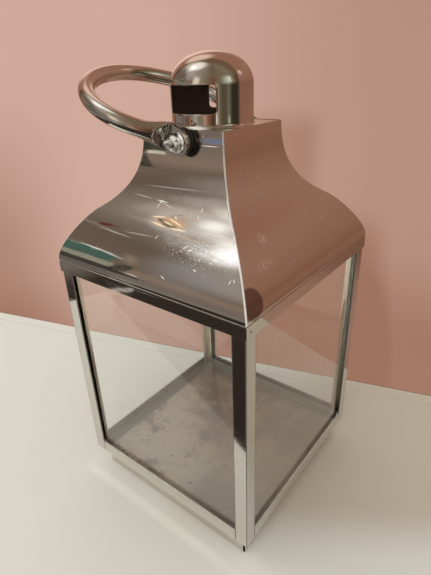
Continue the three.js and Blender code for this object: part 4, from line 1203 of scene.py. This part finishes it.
class LANTERN_OT_chimney(bpy.types.Operator):
    """Make the chimney cap with its two windows, and the plate that it stands on"""

    bl_idname = "lantern.chimney"
    bl_label = "Chimney"
    bl_options = {"REGISTER", "UNDO"}

    def execute(self, context):
        size = context.scene.lantern_sizes
        tint = context.scene.lantern_colours
        steel = polished_steel("cap steel", tint.steel, 0.0009, 0.8)
        self.cap(size.cap_sheet, steel, sooted_and_shaded("cap inside", tint.soot_and_shade))
        self.plate(steel)
        return {"FINISHED"}

    @staticmethod
    def columns(radius):
        """Angles round the cap from the front, and which of them stand in a window.

        Across a window's rounded corners they stand closer, at even turns of the arc.
        """
        turn = np.linspace(0, math.pi / 2, 7)
        arc = WINDOW_HALF - WINDOW_CORNER + WINDOW_CORNER * np.sin(turn)
        across = np.concatenate([-arc[::-1], np.linspace(-18, 18, 13), arc])
        window = np.arcsin(across / radius)
        blind = np.linspace(window[-1], math.pi - window[-1], 26)[1:-1]
        angle = np.concatenate([window, blind, window + math.pi, blind + math.pi])
        return angle, np.tile(np.arange(len(angle) // 2) < len(window), 2)

    def cap(self, sheet, material, lining):
        """A tube that a superellipse closes into a dome, open where the windows are.

        Columns are angles round the axis; rows climb from the rim. Between the windows'
        sill and head the rows stand at heights that follow the windows' rounded corners,
        so the faces inside them are whole faces and are left out.
        """
        radius, rim, crown = (CAP_HIGH[0] - CAP_LOW[0]) / 2, CAP_LOW[2], CAP_HIGH[2]
        angle, in_window = self.columns(radius)
        into_corner = np.abs(radius * np.sin(angle)) - WINDOW_HALF + WINDOW_CORNER
        into_corner = np.clip(np.where(in_window, into_corner, WINDOW_CORNER), 0, WINDOW_CORNER)
        lift = WINDOW_CORNER - np.sqrt(WINDOW_CORNER ** 2 - into_corner ** 2)
        sill, head = rim + WINDOW_SILL + lift, rim + WINDOW_HEAD - lift
        foot = NECK_PLATE_HIGH[2] + 0.02  # the cap's foot is soldered down onto the plate
        below = np.linspace(0, 1, 12)[:, None] ** 1.6
        beside = np.linspace(0, 1, 9)[1:, None]
        height = np.concatenate([foot + (sill - foot) * below, sill + (head - sill) * beside])
        window_rows = slice(len(below) - 1, len(height) - 1)
        swell = np.linspace(0, math.pi / 2, 34)
        spring = rim + DOME_SPRING
        dome_r = radius * np.cos(swell) ** (2 / DOME_POWER)
        dome_z = spring + (crown - spring) * np.sin(swell) ** (2 / DOME_POWER)
        reach = np.interp(height, dome_z, dome_r, left=radius)
        reach = reach + SOLDER_FLARE * np.clip(1 - (height - foot) / SOLDER_RISE, 0, 1) ** 2
        start = np.searchsorted(dome_z, rim + WINDOW_HEAD + 1.5)
        gap = np.linspace(0, 1, 6)[1:-1, None]
        upper = np.concatenate([
            height[-1] + (dome_z[start] - height[-1]) * gap,
            np.repeat(dome_z[start:, None], len(angle), axis=1),
        ])
        height = np.concatenate([height, upper])
        reach = np.concatenate([reach, np.interp(upper, dome_z, dome_r)])
        reach[-1] = 0.0
        points = np.stack([reach * np.sin(angle), -reach * np.cos(angle), height], axis=-1)
        keep = np.ones((len(height) - 1, len(angle)), dtype=bool)
        keep[window_rows, in_window & np.roll(in_window, -1)] = False
        made = piece("chimney_cap_dressed", points, material, "lantern",
                     ["chimney_cap"], 50, keep=keep)
        made.data.materials.append(lining)
        modify(made, "Wall", "SOLIDIFY", thickness=sheet, offset=-1.0, material_offset=1)
        modify(made, "Eased edges", "BEVEL", width=0.18 * MM, segments=2,
               angle_limit=math.radians(50))

    @staticmethod
    def plate(material):
        """A square drawn in to the round vent: each point moves straight to the circle."""
        half, top = NECK_PLATE_HIGH[0] + 0.6, NECK_PLATE_HIGH[2]
        angle = circle(128)
        ray = np.stack([np.cos(angle), np.sin(angle)], axis=1)
        square = ray * half / np.abs(ray).max(axis=1, keepdims=True)
        t = np.linspace(0, 1, 12)[:, None, None]
        plan = square * (1 - t) + VENT_RADIUS * ray * t
        height = np.full(plan.shape[:2] + (1,), top)
        points = np.concatenate([plan, height], axis=2)
        made = piece("neck_plate_dressed", points, material, "lantern",
                     ["neck_plate"])
        modify(made, "Sheet", "SOLIDIFY", thickness=(top - NECK_PLATE_LOW[2]) * MM, offset=-1.0)


class LANTERN_OT_bail(bpy.types.Operator):
    """Make the tube bail with its pressed ends"""

    bl_idname = "lantern.bail"
    bl_label = "Bail"
    bl_options = {"REGISTER", "UNDO"}

    TUBE = 6.6  # the tube's radius
    TAB, HALF_TAB = 10.2, 1.25  # half height and half thickness of a pressed end
    END_POWER = 2.3  # of the superellipse that rounds the end
    BEND = 11.2  # from the pivot to where an arm leaves its straight
    REACH = 121.3  # from the pivot to the middle of the grip
    TILT = math.radians(23.2)  # above level at rest
    ARM_PULL, GRIP_PULL = (46.4, 55.1), 54.0  # handles of the curve from an arm to the grip
    FINE_RUN, FINE_STEP = 48, 0.6  # how far the rings stand close, and how close

    def execute(self, context):
        size = context.scene.lantern_sizes
        tint = context.scene.lantern_colours
        tab_y = -WASHER_HIGH[1] - CLEAR - self.HALF_TAB
        points = self.skin(self.middle(tab_y), size.press_length / MM)
        steel = polished_steel("bail steel", tint.steel, 0.0003, base=0.115)
        piece("bail_tube", points, steel, "bail", ["bail"], 35)
        return {"FINISHED"}

    def middle(self, tab_y):
        """Half of the middle line, as distance along the arm and from the middle plane.

        A straight through the pressed end and then one cubic curve to the grip, with the
        corner between them eased, at stations that lie closer together near the end.
        """
        straight = np.stack([np.linspace(-self.TAB, self.BEND, 86), np.full(86, tab_y)], 1)
        start, reach = np.array([self.BEND, tab_y]), self.REACH
        curve = bezier([start, start + self.ARM_PULL, (reach, self.GRIP_PULL), (reach, 0)], 600)
        line = np.concatenate([straight, curve[1:]])
        run = np.concatenate([[0], np.cumsum(np.linalg.norm(np.diff(line, axis=0), axis=1))])
        even = np.arange(0, run[-1], 0.25)
        path = np.stack([np.interp(even, run, line[:, i]) for i in range(2)], axis=1)
        kernel = np.hanning(15)
        kernel /= kernel.sum()
        padded = np.pad(path, ((7, 7), (0, 0)), mode="edge")
        soft = np.stack([np.convolve(padded[:, i], kernel, "valid") for i in range(2)], 1)
        soft[:20], soft[-20:] = path[:20], path[-20:]
        near = np.arange(0, self.FINE_RUN, self.FINE_STEP)
        stations = np.concatenate([near, np.linspace(self.FINE_RUN, run[-1], 64)])
        return stations, np.stack([np.interp(stations, even, soft[:, i]) for i in range(2)], 1)

    def skin(self, line, press):
        """Rings round the middle line, from the front end over the grip to the rear end.

        A ring is a circle whose thickness is held between two planes. The planes stand
        close together at the pressed end and part along the press mark, and the ring grows
        taller as it is pressed. The end is rounded in its own plane.
        """
        run, middle = line
        from_tip = run - self.TAB
        along = np.gradient(middle, run, axis=0)
        along /= np.linalg.norm(along, axis=1, keepdims=True)
        past = from_tip - self.BEND
        limit = self.HALF_TAB + (self.TUBE - self.HALF_TAB) * np.clip(past / press, 0, 1.2)
        ease = np.clip(past / (press + 12), 0, 1)
        tall = self.TAB + (self.TUBE - self.TAB) * ease * ease * (3 - 2 * ease)
        end = np.clip(-from_tip / self.TAB, 0, 1)
        tall = tall * (1 - end ** self.END_POWER) ** (1 / self.END_POWER)
        turn = circle(72)
        out = np.clip(self.TUBE * np.cos(turn), -limit[:, None], limit[:, None])
        up = tall[:, None] * np.sin(turn)
        s = middle[:, :1] - along[:, 1:] * out
        y = middle[:, 1:] + along[:, :1] * out
        front = np.stack([-s, -y, up], axis=-1)
        rear = front[-2::-1] * (1, -1, 1)
        rings = np.concatenate([front, rear])
        c, d = math.cos(self.TILT), math.sin(self.TILT)
        x, y, z = np.moveaxis(rings, -1, 0)
        return np.stack([PIVOT[0] + x * c + z * d, y, PIVOT[2] - x * d + z * c], axis=-1)


SHANK = 3.0  # radius of the pivot bolts' shanks
BOLT_HEAD, BOLT_TIP = 3.2, 0.9  # height of a bolt's crown, and length of its rounded end
NUT_FLAT, NUT_CHAMFER = 5.0, 0.62  # from the middle to a flat, and the slope at the corners


def ring(rim, low, high, edge):
    """A ring round a bolt's shank, between two heights, with rounded edges."""
    bore = SHANK + 0.2
    outline = rounded([(bore, low), (rim, low), (rim, high), (bore, high)], edge)
    return turned(outline[:, :1], outline[:, 1:], 96)


class LANTERN_OT_pivots(bpy.types.Operator):
    """Make the bail's bolts, nuts, washers and black spacers"""

    bl_idname = "lantern.pivots"
    bl_label = "Pivots"
    bl_options = {"REGISTER", "UNDO"}

    def execute(self, context):
        size = context.scene.lantern_sizes
        tint = context.scene.lantern_colours
        steel = turned_steel("thread steel", THREAD_STEEL)
        bright = turned_steel("fastener steel", BRIGHT_STEEL)
        black = black_plastic("spacer plastic", tint.black)
        for end, side in (("front", -1), ("rear", 1)):
            for name, points, material, slot in (
                ("bolt", self.bolt(size), steel, "plain_steel"),
                ("nut", self.nut(), bright, "polished_steel"),
                ("washer", self.washer(), bright, "polished_steel"),
                ("spacer", self.spacer(), black, "black_plastic"),
            ):
                piece(f"{name}_{end}", facing(points, side), material, "lantern",
                      [f"pivot_{name}_{end}"], 38, ring=name != "bolt")
        return {"FINISHED"}

    @staticmethod
    def bolt(size):
        """A button head and a shank whose radius falls and rises along one helix."""
        face, end, sides = -BOLT_HIGH[1], -BOLT_LOW[1], 48
        head, height, tip = (BOLT_HIGH[0] - BOLT_LOW[0]) / 2, BOLT_HEAD, BOLT_TIP
        turn = np.linspace(0, math.pi / 2, 10)
        rows = np.arange(face + height + 0.1, end - tip, size.thread_pitch / MM / 9)
        phase = rows[:, None] * MM / size.thread_pitch - circle(sides) / (2 * math.pi)
        tooth = np.abs(2 * (phase % 1) - 1)
        depth = size.thread_depth / MM * np.clip(tooth * 1.35 - 0.12, 0, 1)
        fade = np.clip((end - tip - rows) / 1.2, 0, 1)[:, None]
        close = np.linspace(0, 1, 7)
        before = np.concatenate([head * np.sin(turn), [SHANK]])
        after = (SHANK - 0.45) * np.sqrt(1 - close ** 2)
        r = np.concatenate([
            np.repeat(before[:, None], sides, axis=1), SHANK - depth * (0.35 + 0.65 * fade),
            np.repeat(after[:, None], sides, axis=1),
        ])
        crown = face + height * (1 - np.cos(turn))
        z = np.concatenate([crown, [face + height], rows, end - tip + tip * close])
        return turned(r, z[:, None], sides)

    @staticmethod
    def nut():
        """A hexagon's radius by angle, with both faces turned down to a cone at the corners."""
        low, high, flat = -NUT_HIGH[1], -NUT_LOW[1], NUT_FLAT
        third = (circle(96) + math.pi / 6) % (math.pi / 3) - math.pi / 6
        hexagon = flat / np.cos(third)
        drop = (hexagon - flat) * NUT_CHAMFER
        rows = [
            (SHANK, low + 0.3), (SHANK + 0.4, low), (flat * 0.97, low),
            (hexagon - 0.1, low + drop + 0.05), (hexagon, low + drop + 0.25),
            (hexagon, (low + high) / 2), (hexagon, high - drop - 0.25),
            (hexagon - 0.1, high - drop - 0.05), (flat * 0.97, high),
            (SHANK + 0.5, high), (SHANK, high - 0.4),
        ]
        r, z = (np.array([row[i] + 0 * third for row in rows]) for i in range(2))
        return turned(r, z, len(third))

    @staticmethod
    def washer():
        """A flat ring with rounded edges."""
        rim = (WASHER_HIGH[0] - WASHER_LOW[0]) / 2
        return ring(rim, -WASHER_HIGH[1], -WASHER_LOW[1], 0.35)

    @staticmethod
    def spacer():
        """A ring whose inner end stands at the roof's half width plus a gap at each height."""
        rim = (SPACER_HIGH[0] - SPACER_LOW[0]) / 2
        points = ring(rim, 0.0, -SPACER_LOW[1], 0.6)
        wall = reach_at(PIVOT[2] + points[..., 1], CLEAR)
        points[..., 2] = np.maximum(points[..., 2], wall)
        return points


GLASS_ARRIS, BAR_EDGE, MAGNET_EDGE = 0.3 * MM, 0.2 * MM, 0.3 * MM  # widths of eased edges


class LANTERN_OT_panes(bpy.types.Operator):
    """Dress the panes and the angles that hold them"""

    bl_idname = "lantern.panes"
    bl_label = "Panes"
    bl_options = {"REGISTER", "UNDO"}

    def execute(self, context):
        tint = context.scene.lantern_colours
        edge = tint.glass_edge
        for node, axis, body in (
            ("glass_front", 1, "lantern"), ("glass_left", 0, "lantern"),
            ("glass_right", 0, "lantern"), ("door_glass", 1, "door"),
        ):
            glass = clear_glass(node.replace("_", " "), edge, axis)
            eased(node, glass, body, GLASS_ARRIS)
        steel = plain_steel("angle steel", tint.angle, tint.brass, 0.05)
        for corner in ("front_left", "front_right", "rear_left", "rear_right"):
            eased(f"inner_angle_{corner}", steel, "lantern", BAR_EDGE)
        return {"FINISHED"}


# The door knob's radii, and the length of its waist.
KNOB_BALL, KNOB_NECK, KNOB_FOOT, KNOB_TAIL, KNOB_WAIST = 3.8, 2.2, 3.0, 1.4, 2.4


class LANTERN_OT_door(bpy.types.Operator):
    """Dress the rear door, its knob, its pins and its magnet"""

    bl_idname = "lantern.door"
    bl_label = "Door"
    bl_options = {"REGISTER", "UNDO"}

    def execute(self, context):
        size = context.scene.lantern_sizes
        tint = context.scene.lantern_colours
        steel = polished_steel("door steel", tint.steel, worn=1.2)
        eased("door_frame", steel, "door", size.eased_edge)
        pin = plain_steel("pin steel", tint.plain_steel)
        for node in ("hinge_pin_bottom", "hinge_pin_top"):
            eased(node, pin, "lantern", BAR_EDGE)
        plating = plain_steel("magnet plating", tint.magnet)
        eased("door_magnet", plating, "lantern", MAGNET_EDGE)
        self.knob(steel)
        return {"FINISHED"}

    @staticmethod
    def knob(material):
        """A tail, a waisted neck and a ball, turned about the knob's axis."""
        start = math.acos(KNOB_NECK / KNOB_BALL)
        shoulder = CLEAR + KNOB_WAIST
        centre = shoulder + KNOB_BALL * math.sin(start)
        turn = np.linspace(-start, math.pi / 2, 24)
        ball = np.stack([np.cos(turn), np.sin(turn)], axis=1) * KNOB_BALL + (0, centre)
        foot, tail, base = KNOB_FOOT, KNOB_TAIL, CLEAR + 0.5
        waist = bezier([(foot, base), (KNOB_NECK, base), (KNOB_NECK, shoulder)], 8)
        outline = np.concatenate([
            [(0, -2.2), (tail, -2.2), (tail, CLEAR), (foot - 0.3, CLEAR), (foot, CLEAR + 0.2)],
            waist, ball[1:],
        ])
        outline[-1, 0] = 0.0
        x, y, z = np.moveaxis(turned(outline[:, :1], outline[:, 1:], 64), -1, 0)
        middle = (KNOB_LOW + KNOB_HIGH) / 2
        points = np.stack(
            [middle[0] + x, KNOB_HIGH[1] - centre - KNOB_BALL + z, middle[2] - y], axis=-1)
        piece("door_knob_turned", points, material, "door", ["door_knob"])


PARTS = (
    LANTERN_OT_stage, LANTERN_OT_base, LANTERN_OT_body, LANTERN_OT_roof, LANTERN_OT_chimney,
    LANTERN_OT_bail, LANTERN_OT_pivots, LANTERN_OT_panes, LANTERN_OT_door,
)


class LANTERN_PT_sidebar(bpy.types.Panel):
    """The lantern's sizes, colours and parts"""

    bl_idname = "LANTERN_PT_sidebar"
    bl_label = "Candle Lantern"
    bl_space_type = "VIEW_3D"
    bl_region_type = "UI"
    bl_category = "Lantern"

    def draw(self, context):
        layout = self.layout
        for title, group in (
            ("Sizes", context.scene.lantern_sizes), ("Colours", context.scene.lantern_colours),
        ):
            box = layout.box()
            box.label(text=title)
            for name in group.__annotations__:
                box.prop(group, name)
        for part in PARTS:
            layout.operator(part.bl_idname, text=part.bl_label)


CLASSES = (LanternSizes, LanternColours, *PARTS, LANTERN_PT_sidebar)


def register():
    for each in CLASSES:
        bpy.utils.register_class(each)
    bpy.types.Scene.lantern_sizes = PointerProperty(type=LanternSizes)
    bpy.types.Scene.lantern_colours = PointerProperty(type=LanternColours)


def unregister():
    del bpy.types.Scene.lantern_colours
    del bpy.types.Scene.lantern_sizes
    for each in reversed(CLASSES):
        bpy.utils.unregister_class(each)


def main():
    register()
    for part in PARTS:
        group, action = part.bl_idname.split(".")
        getattr(getattr(bpy.ops, group), action)()


if __name__ == "__main__":
    main()
